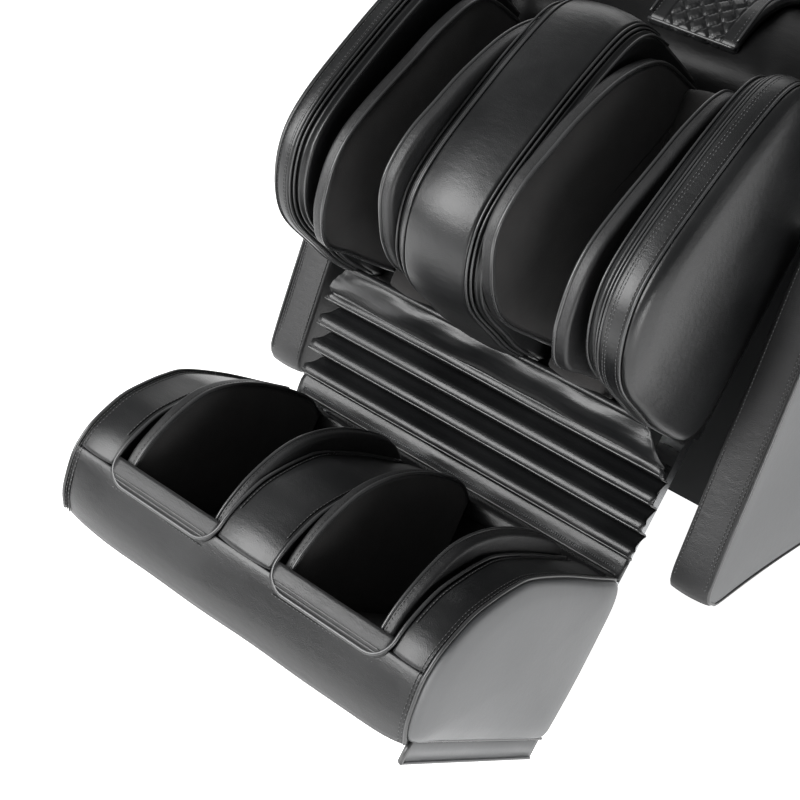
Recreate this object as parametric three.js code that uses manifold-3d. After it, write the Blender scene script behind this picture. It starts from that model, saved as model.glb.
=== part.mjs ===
// A zero-gravity massage chair: floor base, bucket seat, reclining back with a roller carriage,
// and a raising leg rest whose foot massager slides out on telescopic rails behind a pleated bellows.
// Millimetres, +Z up, the sitter faces -Y. The origin is on the floor under the middle of the chair's box.
import * as THREE from "three";
import { mergeVertices } from "three/addons/utils/BufferGeometryUtils.js";
import Module from "manifold-3d";

const wasm = await Module();
wasm.setup();

// ---- driving dimensions ----
const DEG = Math.PI / 180;
const GAP = 0.3; // clearance between pieces that touch

const LEG_ANGLE = 42.2 * DEG; // leg rest, raised from vertical
const TOE_EDGE = { y: -950, z: 260 }; // lower front edge of the foot unit, the leg frame's origin
const FOOT_HALF = 248; // half widths of the two leg rest units
const CALF_HALF = 254;
const WELL = { inner: 41, outer: 210, back: 268 }; // calf wells, from the middle wall to the outer wall
const FOOT_WELL = { inner: 40, outer: 200, back: 280, floor: 14, lip: 66, toe: -6 };
const HEEL = 313; // back face of both leg rest units in the leg frame
const FOOT_TOP = 199; // rim of the foot unit above its sole
const CALF_BOTTOM = 368;
const CALF_TOP = 724;
const KNEE = { y: 330, z: 700 }; // leg rest pivot in the leg frame
const PLEATS = 5;
const TUBE = { inner: 200, outer: 236, front: 318, back: 344, wall: 3 }; // outer slide tubes

const BACK_ANGLE = 40 * DEG; // backrest, reclined from vertical
const BACK_PIVOT = { y: 320, z: 390 };
const BACK_HALF = 275;
const SHOULDER_HALF = 332;

const SEAT = { half: 278, front: -198, rear: 178, frontTop: 600, slope: -0.284, thick: 70, pan: 8 };
const SIDE = { inner: 284, strip: 335, outer: 384, lean: 0.5317, bottom: 181, toe: -570, top: 715 };
const PLATE = { inner: 186, outer: 194 }; // seat frame side plates
const RAIL = { inner: 170, outer: 210, low: 50, high: 95, front: -180, rear: 430 };
const PIN = 12; // radius of both hinge bars
const LEVER = 165; // leg actuator crank
const BACK_LEVER = { y: 87.7, z: -81.8 };
const ROLLER = { x: 61, y: -62, radius: 24, width: 22, spacing: 96, middle: 380 };

// ---- materials ----
const material = (color, roughness, metalness = 0) => new THREE.MeshStandardMaterial({ color, roughness, metalness });
const leather = material(0x1b1c1d, 0.45);
const gloss = material(0x3a3d3e, 0.3);
const fabric = material(0x0c0c0d, 0.95);
const steel = material(0x8f9295, 0.45, 0.7);
const paint = material(0x2b2d2f, 0.5, 0.4);
const plastic = material(0x151617, 0.55);
const rubber = material(0x101010, 0.9);
const button = material(0xb9bcbe, 0.35);

// ---- geometry helpers ----
// A closed outline whose corners are rounded: each corner is [a, b] or [a, b, radius].
function rounded(corners) {
  const shape = new THREE.Shape();
  corners.forEach(([a, b, radius = 0], i) => {
    const here = new THREE.Vector2(a, b);
    const before = new THREE.Vector2(...corners.at(i - 1));
    const after = new THREE.Vector2(...corners[(i + 1) % corners.length]);
    const from = here.clone().add(before.sub(here).setLength(radius));
    const to = here.clone().add(after.sub(here).setLength(radius));
    if (i === 0) shape.moveTo(from.x, from.y);
    else shape.lineTo(from.x, from.y);
    if (radius > 0) shape.quadraticCurveTo(here.x, here.y, to.x, to.y);
  });
  return shape;
}

const block = (a0, a1, b0, b1, radius = 0) =>
  rounded([
    [a0, b0, radius],
    [a1, b0, radius],
    [a1, b1, radius],
    [a0, b1, radius],
  ]);

const extruded = (shape, depth, curveSegments) =>
  new THREE.ExtrudeGeometry(shape, { depth, bevelEnabled: false, curveSegments });

// A (y, z) outline extruded from x0 to x1.
const alongX = (shape, x0, x1, curveSegments = 5) =>
  extruded(shape, x1 - x0, curveSegments)
    .applyMatrix4(new THREE.Matrix4().set(0, 0, 1, x0, 1, 0, 0, 0, 0, 1, 0, 0, 0, 0, 0, 1));

// An (x, z) outline extruded from y0 to y1.
const alongY = (shape, y0, y1, curveSegments = 5) =>
  extruded(shape, y1 - y0, curveSegments).rotateX(Math.PI / 2).translate(0, y1, 0);

// An (x, y) outline extruded from z0 to z1.
const alongZ = (shape, z0, z1, curveSegments = 5) => extruded(shape, z1 - z0, curveSegments).translate(0, 0, z0);

const box = (x0, x1, y0, y1, z0, z1) => alongX(block(y0, y1, z0, z1), x0, x1);

const barX = (radius, x0, x1, y, z, sides = 20) =>
  new THREE.CylinderGeometry(radius, radius, x1 - x0, sides)
    .rotateZ(Math.PI / 2)
    .translate((x0 + x1) / 2, y, z);

const barY = (radius, x, y0, y1, z, sides = 20) =>
  new THREE.CylinderGeometry(radius, radius, y1 - y0, sides).translate(x, (y0 + y1) / 2, z);

const barZ = (radius, x, y, z0, z1, sides = 20) =>
  new THREE.CylinderGeometry(radius, radius, z1 - z0, sides)
    .rotateX(Math.PI / 2)
    .translate(x, y, (z0 + z1) / 2);

// A turned piece: profile points are [radius, x] from the axis and back to it, about an X axis through (y, z).
const turnedX = (profile, y, z, sides = 24) =>
  new THREE.LatheGeometry(profile.map(([r, x]) => new THREE.Vector2(r, x)), sides)
    .rotateZ(-Math.PI / 2)
    .translate(0, y, z);

function solid(geometry) {
  const bare = geometry.clone();
  bare.deleteAttribute("normal");
  bare.deleteAttribute("uv");
  const merged = mergeVertices(bare, 1e-3);
  return new wasm.Manifold(
    new wasm.Mesh({
      numProp: 3,
      vertProperties: new Float32Array(merged.attributes.position.array),
      triVerts: new Uint32Array(merged.index.array),
    }),
  );
}

function geometryOf(manifold) {
  const mesh = manifold.getMesh();
  const positions = new Float32Array(mesh.numVert * 3);
  for (let i = 0; i < mesh.numVert; i++)
    positions.set(mesh.vertProperties.subarray(i * mesh.numProp, i * mesh.numProp + 3), i * 3);
  return new THREE.BufferGeometry()
    .setAttribute("position", new THREE.BufferAttribute(positions, 3))
    .setIndex(new THREE.BufferAttribute(mesh.triVerts, 1));
}

const cut = (body, ...tools) =>
  geometryOf(tools.reduce((left, tool) => left.subtract(solid(tool)), solid(body)));
const join = (...pieces) => geometryOf(pieces.map(solid).reduce((all, piece) => all.add(piece)));
const common = (a, b) => geometryOf(solid(a).intersect(solid(b)));

const chair = new THREE.Group();
const leg = new THREE.Group();
leg.position.set(0, TOE_EDGE.y, TOE_EDGE.z);
leg.rotation.x = -LEG_ANGLE;
const back = new THREE.Group();
back.position.set(0, BACK_PIVOT.y, BACK_PIVOT.z);
back.rotation.x = -BACK_ANGLE;
chair.add(leg, back);
chair.position.y = 9.59; // sets the origin under the middle of the whole box

function add(group, name, geometry, finish) {
  const mesh = new THREE.Mesh(geometry, finish);
  mesh.name = name;
  group.add(mesh);
}

// Adds NAME_left at -x and its mirror image NAME_right at +x. make(side) is given -1 or 1.
const SIDES = [
  ["left", -1],
  ["right", 1],
];
const pair = (group, name, make, finish) =>
  SIDES.forEach(([word, side]) => add(group, `${name}_${word}`, make(side), finish));

// The span from a to b on that side, lowest first.
const span = (side, a, b) => (side < 0 ? [-b, -a] : [a, b]);

// A point of the leg frame in the chair's frame.
const legPoint = (y, z) => ({
  y: TOE_EDGE.y + y * Math.cos(LEG_ANGLE) + z * Math.sin(LEG_ANGLE),
  z: TOE_EDGE.z - y * Math.sin(LEG_ANGLE) + z * Math.cos(LEG_ANGLE),
});
const KNEE_AT = legPoint(KNEE.y, KNEE.z);

// ---- foot unit: a domed housing with two foot wells, sole rollers and air cells ----
// The side view of the foot unit, drawn smaller all round by an inset.
function footOutline(inset = 0) {
  const i = inset;
  const shape = new THREE.Shape();
  shape.moveTo(8 + i, -4 + i);
  shape.quadraticCurveTo(-26 + i, -2 + i, -29 + i, 26);
  shape.splineThru(
    [
      [-29 + i, 70],
      [-12 + i * 0.8, 112 - i * 0.6],
      [29 + i * 0.5, 155 - i * 0.9],
      [92, 184 - i],
      [158, 195 - i],
      [230, FOOT_TOP - i],
    ].map(([y, z]) => new THREE.Vector2(y, z)),
  );
  shape.lineTo(HEEL - 14 - i, FOOT_TOP - i);
  shape.quadraticCurveTo(HEEL - i, FOOT_TOP - i, HEEL - i, FOOT_TOP - 14 - i);
  shape.lineTo(HEEL - i, -4 + i);
  return shape;
}

const soleRoller = { y: 130, z: 33, journal: 5, radius: 13, discs: 3, discWidth: 18, seat: 10 };

function footHousing() {
  const w = FOOT_WELL;
  const wellSide = rounded([
    [-80, w.lip + 4],
    [w.toe, w.lip - 4, 4],
    [w.toe, w.floor, 6],
    [w.back, w.floor, 6],
    [w.back, 260],
    [-80, 260],
  ]);
  const tools = SIDES.flatMap(([, side]) => {
    const [x0, x1] = span(side, w.inner, w.outer);
    return [
      alongX(wellSide, x0, x1),
      barX(soleRoller.journal + 0.5, x0 - soleRoller.seat, x1 + soleRoller.seat, soleRoller.y, soleRoller.z, 16),
    ];
  });
  return cut(alongX(footOutline(), -FOOT_HALF, FOOT_HALF, 6), ...tools);
}

function solePad(side) {
  const [x0, x1] = span(side, FOOT_WELL.inner + 6, FOOT_WELL.outer - 6);
  return alongX(block(4, 258, 48, 58, 4), x0, x1);
}

// Two side cells joined round the heel, inside the well and just under the dome.
function footAirCell(side) {
  const [x0, x1] = span(side, FOOT_WELL.inner + 3, FOOT_WELL.outer - 3);
  const [gap0, gap1] = span(side, FOOT_WELL.inner + 27, FOOT_WELL.outer - 27);
  const whole = common(alongX(footOutline(10), x0, x1, 4), box(x0, x1, 6, FOOT_WELL.back - 3, 60, 230));
  return cut(whole, box(gap0, gap1, -60, 250, 40, 260));
}

// A shaft with discs that knead the sole; its ends turn in the well's side walls.
function soleRollerShaft(side) {
  const [x0, x1] = span(side, FOOT_WELL.inner - soleRoller.seat + 2, FOOT_WELL.outer + soleRoller.seat - 2);
  const profile = [[0, x0]];
  const r = soleRoller;
  profile.push([r.journal, x0]);
  const [inside, outside] = span(side, FOOT_WELL.inner, FOOT_WELL.outer);
  for (let i = 0; i < r.discs; i++) {
    const middle = THREE.MathUtils.lerp(inside, outside, (i + 0.5) / r.discs);
    profile.push([r.journal, middle - r.discWidth / 2], [r.radius, middle - r.discWidth / 2 + 3]);
    profile.push([r.radius, middle + r.discWidth / 2 - 3], [r.journal, middle + r.discWidth / 2]);
  }
  profile.push([r.journal, x1], [0, x1]);
  return turnedX(profile, r.y, r.z, 16);
}

add(leg, "foot_housing", footHousing(), leather);
pair(leg, "foot_sole_pad", solePad, fabric);
pair(leg, "foot_air_cell", footAirCell, fabric);
pair(leg, "sole_roller", soleRollerShaft, plastic);

const ROD = { clear: 1, low: 20, high: 530 };
// The sliding rod, bolted to the heel of the foot housing by a flat foot.
function slideRod(side) {
  const inset = TUBE.wall + ROD.clear;
  const [x0, x1] = span(side, TUBE.inner + inset, TUBE.outer - inset);
  return join(
    box(x0, x1, TUBE.front + inset, TUBE.back - inset, ROD.low, ROD.high),
    box(x0, x1, HEEL + GAP, TUBE.front + inset + 1, ROD.low, 150),
  );
}
pair(leg, "slide_rod", slideRod, steel);

// ---- calf unit: three domed walls on a back plate, with four air fins and two rest pads ----
// The domed front of a calf wall, from its lower end to its top, set back by an inset.
const calfDome = (inset) =>
  [
    [160, 374],
    [100, 386],
    [60, 407],
    [38, 440],
    [26, 485],
    [34, 540],
    [57, 600],
    [83, 655],
    [114, 700],
    [168, 722],
  ].map(([y, z]) => new THREE.Vector2(y + inset * 1.2, 545 + (z - 545) * (1 - inset / 190)));

function calfOutline(inset = 0, root = HEEL) {
  const low = CALF_BOTTOM + inset;
  const high = CALF_TOP - inset;
  const shape = new THREE.Shape();
  shape.moveTo(root, low);
  shape.lineTo(240, low);
  shape.splineThru(calfDome(inset));
  shape.quadraticCurveTo(190, high, 225, high);
  shape.lineTo(root, high);
  return shape;
}

function calfHousing() {
  const wells = SIDES.map(([, side]) => box(...span(side, WELL.inner, WELL.outer), -50, WELL.back, 300, 800));
  return cut(alongX(calfOutline(), -CALF_HALF, CALF_HALF, 3), ...wells);
}

const FIN = { thick: 17, inset: 11, inner: 60, outer: 158 };
// An air fin stands on the back plate: the outer one by the outer wall, the inner one by the middle wall.
function calfFin(side, outer) {
  const x0 = outer ? FIN.outer : FIN.inner;
  return alongX(calfOutline(FIN.inset, WELL.back - GAP), ...span(side, x0, x0 + FIN.thick), 2);
}

function calfRestPad(side) {
  const [x0, x1] = span(side, FIN.inner + FIN.thick + 2, FIN.outer - 2);
  return alongX(block(WELL.back - 22, WELL.back - GAP, CALF_BOTTOM + 8, CALF_TOP - 12, 8), x0, x1);
}

add(leg, "calf_housing", calfHousing(), leather);
pair(leg, "calf_fin_outer", (side) => calfFin(side, true), fabric);
pair(leg, "calf_fin_inner", (side) => calfFin(side, false), fabric);
pair(leg, "calf_rest_pad", calfRestPad, fabric);

// The pleated cover over the gap between the two units: ridges face the sitter.
function bellows() {
  const low = FOOT_TOP + 1;
  const high = CALF_BOTTOM - 1;
  const pitch = (high - low) / PLEATS;
  const shape = new THREE.Shape();
  shape.moveTo(316, low);
  shape.lineTo(316, high);
  for (let i = PLEATS; i > 0; i--) {
    const ridge = 268 + (PLEATS - i) * 5;
    shape.lineTo(ridge + 24, low + i * pitch);
    shape.lineTo(ridge, low + (i - 0.5) * pitch);
  }
  shape.lineTo(300, low);
  return alongX(shape, -246, 246);
}
add(leg, "bellows", bellows(), leather);

// The outer slide tube on the back of the calf unit.
function slideTube(side) {
  const [x0, x1] = span(side, TUBE.inner, TUBE.outer);
  const t = TUBE.wall;
  const tube = join(
    box(x0, x1, TUBE.front, TUBE.back, CALF_BOTTOM + 6, 690),
    box(x0, x1, HEEL + GAP, TUBE.front + 1, CALF_BOTTOM + 20, 640),
  );
  return cut(tube, box(x0 + t, x1 - t, TUBE.front + t, TUBE.back - t, 300, 720));
}
pair(leg, "slide_tube", slideTube, steel);

// The leg rest hinge bar, with two straps on the calf unit's back and a crank for the actuator.
function legHingeBar() {
  const crankTurn = LEG_ANGLE + 21 * DEG;
  const crank = alongX(block(-9, 9, -LEVER - 10, 0, 4), 10, 20)
    .rotateX(crankTurn)
    .translate(0, KNEE.y, KNEE.z);
  const straps = SIDES.map(([, side]) =>
    alongX(block(HEEL + GAP, KNEE.y, 610, KNEE.z + 8), ...span(side, 120, 150)),
  );
  return join(barX(PIN, -198, 198, KNEE.y, KNEE.z), crank, ...straps);
}
add(leg, "leg_hinge_bar", legHingeBar(), steel);

// ---- base ----
const WHEEL = { y: 462, z: 30, radius: 26 };
// A fork on the back end of a rail; the wheel's axle turns inside its cheeks.
function wheelFork(side) {
  const [x0, x1] = span(side, RAIL.inner, RAIL.outer);
  const cheek = rounded([
    [RAIL.rear - 1, 52],
    [RAIL.rear - 1, 92],
    [WHEEL.y - 6, 92],
    [WHEEL.y + 12, WHEEL.z + 12],
    [WHEEL.y + 12, WHEEL.z - 8],
    [WHEEL.y - 12, WHEEL.z - 8],
  ]);
  return [
    alongX(cheek, x0, x0 + 5),
    alongX(cheek, x1 - 5, x1),
    barX(4, x0 + 2, x1 - 2, WHEEL.y, WHEEL.z, 12),
  ];
}

// Two rails, two crossbars and the wheel forks, welded.
function baseFrame() {
  const rails = SIDES.map(([, side]) =>
    box(...span(side, RAIL.inner, RAIL.outer), RAIL.front, RAIL.rear, RAIL.low, RAIL.high),
  );
  const crossbars = [-120, 290].map((y) => box(-RAIL.inner - 1, RAIL.inner + 1, y, y + 36, RAIL.low, RAIL.high - 5));
  return join(...rails, ...crossbars, ...wheelFork(-1), ...wheelFork(1));
}
add(chair, "base_frame", baseFrame(), paint);

const footX = (RAIL.inner + RAIL.outer) / 2;
const levellingFoot = (side, y) =>
  turnedX(
    [
      [0, -RAIL.low + GAP],
      [8, -RAIL.low + GAP],
      [8, -14],
      [22, -10],
      [22, 0],
      [0, 0],
    ],
    0,
    0,
    20,
  )
    .rotateY(Math.PI / 2)
    .translate(side * footX, y, 0);
pair(chair, "levelling_foot_front", (side) => levellingFoot(side, RAIL.front + 26), rubber);
pair(chair, "levelling_foot_rear", (side) => levellingFoot(side, RAIL.rear - 40), rubber);

// A wheel with a bore for its axle.
function wheel(side) {
  const [x0, x1] = span(side, RAIL.inner + 6, RAIL.outer - 6);
  return cut(barX(WHEEL.radius, x0, x1, WHEEL.y, WHEEL.z, 24), barX(4.6, x0 - 1, x1 + 1, WHEEL.y, WHEEL.z, 12));
}
pair(chair, "transport_wheel", wheel, rubber);

const SWITCH = { x: 60, y: 441, z: 118 };
// The power supply, with a mains inlet recess and the switch's recess in its back face.
function powerBox() {
  const body = box(-140, 140, 336, 440, RAIL.low, 150);
  const inletRecess = box(-84, -36, 425, 460, 104, 132);
  const switchRecess = box(SWITCH.x - 15, SWITCH.x + 15, 430, 460, SWITCH.z - 11, SWITCH.z + 11);
  return cut(body, inletRecess, switchRecess);
}
add(chair, "power_box", powerBox(), plastic);
// The rocker, pressed to its upper side.
const rocker = rounded([
  [-2, -4],
  [6, -9],
  [9, 0],
  [6, 9],
  [-2, 4],
]);
add(
  chair,
  "mains_switch",
  alongX(rocker, SWITCH.x - 12, SWITCH.x + 12).rotateX(-8 * DEG).translate(0, 434, SWITCH.z),
  rubber,
);

// ---- seat ----
const seatTop = (y) => SEAT.frontTop + SEAT.slope * (y + 208);
const seatSlab = (top, thick, front, rear, radius) =>
  rounded([
    [front, seatTop(front) - top - thick, radius],
    [rear, seatTop(rear) - top - thick, radius],
    [rear, seatTop(rear) - top, radius],
    [front, seatTop(front) - top, radius * 2],
  ]);

// A side plate of the seat frame: it stands on the base rail and carries both hinge bars.
function seatPlate(side) {
  const top = (y) => seatTop(y) - SEAT.thick - SEAT.pan / 2;
  const outline = rounded([
    [KNEE_AT.y - 13, KNEE_AT.z + 4, 8],
    [KNEE_AT.y + 3, KNEE_AT.z + 15, 8],
    [KNEE_AT.y + 16, KNEE_AT.z + 2, 8],
    [-203, 508, 4],
    [-180, top(-180), 4],
    [165, top(165), 4],
    [250, 415, 20],
    [345, 415, 22],
    [345, 330, 20],
    [245, RAIL.high + GAP, 10],
    [-110, RAIL.high + GAP, 10],
    [-150, 380, 30],
    [KNEE_AT.y - 13, KNEE_AT.z - 15, 8],
  ]);
  const [x0, x1] = span(side, PLATE.inner, PLATE.outer);
  const hole = PIN + 0.6;
  return cut(
    alongX(outline, x0, x1),
    barX(hole, x0 - 1, x1 + 1, KNEE_AT.y, KNEE_AT.z),
    barX(hole, x0 - 1, x1 + 1, BACK_PIVOT.y, BACK_PIVOT.z),
  );
}

// Two side plates and the pan under the cushion, with a crossbar behind for the actuators.
function seatFrame() {
  const slab = seatSlab(SEAT.thick + GAP, SEAT.pan, SEAT.front + 12, SEAT.rear - 6, 2);
  return join(
    alongX(slab, -SEAT.half, SEAT.half),
    seatPlate(-1),
    seatPlate(1),
    box(-PLATE.inner - 1, PLATE.inner + 1, 130 + GAP, 156, 385, 415),
    box(-PLATE.inner - 1, PLATE.inner + 1, -94, -70 - GAP, 240, 262),
  );
}
add(chair, "seat_frame", seatFrame(), paint);
// The cushion rises from its front edge to a crest under the thighs, and falls away behind it.
const CREST = { y: -100, z: 649, radius: 70, rearTop: 540 };
function seatFace(y) {
  const [y0, z0, y1, z1] =
    y < CREST.y
      ? [SEAT.front, seatTop(SEAT.front), CREST.y, CREST.z]
      : [CREST.y, CREST.z, SEAT.rear, CREST.rearTop];
  return z0 + ((z1 - z0) * (y - y0)) / (y1 - y0);
}
const cushion = rounded([
  [SEAT.front, seatTop(SEAT.front) - SEAT.thick, 16],
  [SEAT.rear, seatTop(SEAT.rear) - SEAT.thick, 16],
  [SEAT.rear, CREST.rearTop, 16],
  [CREST.y, CREST.z, CREST.radius],
  [SEAT.front, seatTop(SEAT.front), 32],
]);
add(chair, "seat_cushion", alongX(cushion, -SEAT.half, SEAT.half), leather);

// The quilted centre pad is draped over the crest.
const TONGUE = { half: 62, front: -166, rear: 170, thick: 14, gap: 0.5 };
const draped = (y, lift) => [y, seatFace(y) + TONGUE.gap + lift];
const tongue = rounded([
  [...draped(TONGUE.front, 0), 2],
  [...draped(CREST.y, 0), CREST.radius],
  [...draped(TONGUE.rear, 0), 2],
  [...draped(TONGUE.rear, TONGUE.thick), 4],
  [...draped(CREST.y, TONGUE.thick), CREST.radius - 6],
  [...draped(TONGUE.front, TONGUE.thick), 6],
]);
add(chair, "seat_centre_pad", alongX(tongue, -TONGUE.half, TONGUE.half), leather);

// A cover under the front of the seat, parallel to the side covers' front edges, with a slot for the crank.
const APRON = { low: 175, high: 476, thick: 12 };
const apronAt = (z) => -405 + (z - APRON.low) * SIDE.lean;
add(
  chair,
  "front_apron",
  cut(
    alongX(
      rounded([
        [apronAt(APRON.low), APRON.low],
        [apronAt(APRON.low) + APRON.thick, APRON.low],
        [apronAt(APRON.high) + APRON.thick, APRON.high],
        [apronAt(APRON.high), APRON.high],
      ]),
      -SIDE.inner + 1,
      SIDE.inner - 1,
    ),
    box(-24, 30, -500, -100, 360, 500),
  ),
  plastic,
);

// ---- side covers and armrests ----
const frontEdge = (z) => SIDE.toe + (z - SIDE.bottom) * SIDE.lean;
// The cover is narrow at its front edge and swells to full width behind it.
function sideCover(side) {
  const outline = rounded([
    [SIDE.toe, SIDE.bottom, 48],
    [-230, SIDE.bottom, 60],
    [-150, 112, 40],
    [400, 112, 60],
    [446, 330, 120],
    [390, 560, 110],
    [160, SIDE.top - 6, 120],
    [frontEdge(SIDE.top), SIDE.top, 90],
  ]);
  const geometry = alongX(outline, SIDE.inner, SIDE.outer, 6);
  const points = geometry.attributes.position;
  for (let i = 0; i < points.count; i++) {
    if (points.getX(i) < SIDE.outer - 1) continue;
    const behind = points.getY(i) - frontEdge(points.getZ(i));
    const swell = THREE.MathUtils.smoothstep(behind, 0, 380);
    points.setX(i, THREE.MathUtils.lerp(SIDE.strip, SIDE.outer, swell));
  }
  return side > 0 ? geometry : mirrored(geometry);
}

// The same solid on the other side of the chair, with its faces turned back outwards.
function mirrored(geometry) {
  const flipped = geometry.clone().scale(-1, 1, 1);
  const p = flipped.attributes.position;
  for (let i = 0; i < p.count; i += 3) {
    const [a, b] = [i + 1, i + 2].map((k) => [p.getX(k), p.getY(k), p.getZ(k)]);
    p.setXYZ(i + 1, ...b);
    p.setXYZ(i + 2, ...a);
  }
  return flipped;
}
pair(chair, "side_cover", sideCover, gloss);

const ARM = { front: -226, rear: 176, low: SIDE.top + GAP, high: SIDE.top + 38 };
pair(
  chair,
  "armrest_pad",
  (side) => alongX(block(ARM.front, ARM.rear, ARM.low, ARM.high, 18), ...span(side, 288, 378)),
  leather,
);

// ---- armrest control pod, on the right armrest ----
const POD = { x: 333, y: -150, low: ARM.high + GAP, high: ARM.high + 16, half: 30, length: 64 };
const DIAL = { y: POD.y - 34, radius: 17, height: 14 };
const KEYS = [POD.y + 6, POD.y + 38];
const KEY_HALF = 10;
function controlPod() {
  const body = alongZ(block(POD.x - POD.half, POD.x + POD.half, POD.y - POD.length, POD.y + POD.length, 16),
    POD.low, POD.high);
  const wells = KEYS.map((y) =>
    box(POD.x - KEY_HALF - 0.6, POD.x + KEY_HALF + 0.6, y - KEY_HALF - 0.6, y + KEY_HALF + 0.6, POD.high - 8, 900),
  );
  const spindleHole = barZ(4.4, POD.x, DIAL.y, POD.high - 10, 900, 16);
  return cut(body, ...wells, spindleHole);
}
add(chair, "control_pod", controlPod(), plastic);
add(
  chair,
  "control_dial",
  join(
    barZ(DIAL.radius, POD.x, DIAL.y, POD.high + 0.6, POD.high + DIAL.height, 28),
    barZ(4, POD.x, DIAL.y, POD.high - 8, POD.high + 2, 16),
  ),
  button,
);
["power", "program"].forEach((word, i) =>
  add(
    chair,
    `${word}_key`,
    alongZ(block(POD.x - KEY_HALF, POD.x + KEY_HALF, KEYS[i] - KEY_HALF, KEYS[i] + KEY_HALF, 4),
      POD.high - 5, POD.high + 2.4, 3),
    button,
  ),
);

// ---- actuators under the seat ----
const crankEnd = {
  y: KNEE_AT.y + LEVER * Math.sin(21 * DEG),
  z: KNEE_AT.z - LEVER * Math.cos(21 * DEG),
};
// A tubular actuator: a motor case with a hollow tube that holds the sliding rod.
function actuatorCase(front, rear, z) {
  const whole = join(barY(18, 0, front, rear, z, 18), box(-24, 24, rear - 60, rear, z - 62, z - 10));
  return cut(whole, barY(11, 0, front - 5, rear - 12, z, 18));
}
const actuatorRod = (tip, rear, z) =>
  join(barY(9, 0, tip + 8, rear, z, 16), barX(13, -9, 6, tip, z, 18));

const LEG_ACTUATOR_Z = crankEnd.z - 4;
add(chair, "leg_actuator_case", actuatorCase(-70, 130, LEG_ACTUATOR_Z), plastic);
add(chair, "leg_actuator_rod", actuatorRod(crankEnd.y, 90, LEG_ACTUATOR_Z), steel);

const backLeverEnd = {
  y: BACK_PIVOT.y + BACK_LEVER.y * Math.cos(BACK_ANGLE) + BACK_LEVER.z * Math.sin(BACK_ANGLE),
  z: BACK_PIVOT.z - BACK_LEVER.y * Math.sin(BACK_ANGLE) + BACK_LEVER.z * Math.cos(BACK_ANGLE),
};
const BACK_ACTUATOR_Z = backLeverEnd.z + 4;
// The back actuator pulls forward, so it is the leg actuator turned end for end.
add(chair, "back_actuator_case",
  actuatorCase(-180, 70, 0).rotateZ(Math.PI).translate(0, 0, BACK_ACTUATOR_Z), plastic);
add(chair, "back_actuator_rod",
  join(
    barY(9, 0, 8, backLeverEnd.y - 8, BACK_ACTUATOR_Z, 16),
    barX(13, -9, 6, backLeverEnd.y, BACK_ACTUATOR_Z, 18),
  ), steel);

// ---- back unit, in its own frame: z runs up the back, -y faces the sitter ----
// Two side plates welded to the hinge bar, its actuator lever and two crossbars.
function backFrame() {
  const reach = Math.hypot(BACK_LEVER.y, BACK_LEVER.z);
  const lever = alongX(block(-10, 10, -reach - 10, 0, 4), 10, 20)
    .rotateX(Math.atan2(BACK_LEVER.y, -BACK_LEVER.z));
  const plates = SIDES.map(([, side]) => alongX(block(-24, 24, -26, 770, 10), ...span(side, 196, 206), 3));
  const crossbars = [40, 730].map((z) => box(-200, 200, 10, 24, z, z + 30));
  return join(barX(PIN, -206, 206, 0, 0), lever, ...plates, ...crossbars);
}
add(back, "back_frame", backFrame(), paint);
pair(back, "roller_rail", (side) => box(...span(side, 96, 108), -22, 10 - GAP, 20, 770), steel);

// The rear shell: wide at the shoulders, rounded over the head, open to the front.
function shellOutline(inset) {
  const i = inset;
  return rounded([
    [-225 + i, 40 + i, 26],
    [225 - i, 40 + i, 26],
    [BACK_HALF - i, 90, 26],
    [BACK_HALF - i, 300, 60],
    [SHOULDER_HALF - i, 400, 60],
    [SHOULDER_HALF - i, 610, 80],
    [240 - i, 700, 60],
    [200 - i, 838 - i, 90],
    [-200 + i, 838 - i, 90],
    [-240 + i, 700, 60],
    [-SHOULDER_HALF + i, 610, 80],
    [-SHOULDER_HALF + i, 400, 60],
    [-BACK_HALF + i, 300, 60],
    [-BACK_HALF + i, 90, 26],
  ]);
}
const SHELL = { front: 32, rear: 108, wall: 5 };
add(
  back,
  "back_shell",
  cut(
    alongY(shellOutline(0), SHELL.front, SHELL.rear, 4),
    alongY(shellOutline(SHELL.wall), SHELL.front - 5, SHELL.rear - SHELL.wall, 4),
  ),
  gloss,
);

pair(back, "back_bolster", (side) => alongX(block(-97, 9, 16, 790, 22), ...span(side, 112, 182)), leather);
// A side wing: a slim bolster beside the waist that grows into a deep air pad at the shoulder.
function backWing(side) {
  const waist = rounded([
    [26, 96, 10],
    [26, 400],
    [-150, 400],
    [-112, 96, 30],
  ]);
  const shoulder = rounded([
    [26, 330, 20],
    [26, 660, 30],
    [-90, 690, 40],
    [-215, 610, 60],
    [-215, 470, 60],
    [-120, 330, 40],
  ]);
  return join(
    alongX(waist, ...span(side, 212, BACK_HALF - 3), 4),
    alongX(shoulder, ...span(side, 226, SHOULDER_HALF - 2), 4),
  );
}
pair(back, "back_wing", backWing, leather);
add(back, "back_pad", alongY(block(-182, 182, -22, 800, 40), -136, -98, 4), leather);

// The head pillow and the strap it turns up on, over the top of the back pad.
const PILLOW_HINGE = 806;
add(
  back,
  "head_pillow",
  join(
    alongX(block(-186, -138, 590, 790, 18), -165, 165),
    box(-130, 130, -141, -137.4, 750, PILLOW_HINGE),
  ),
  leather,
);

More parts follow.
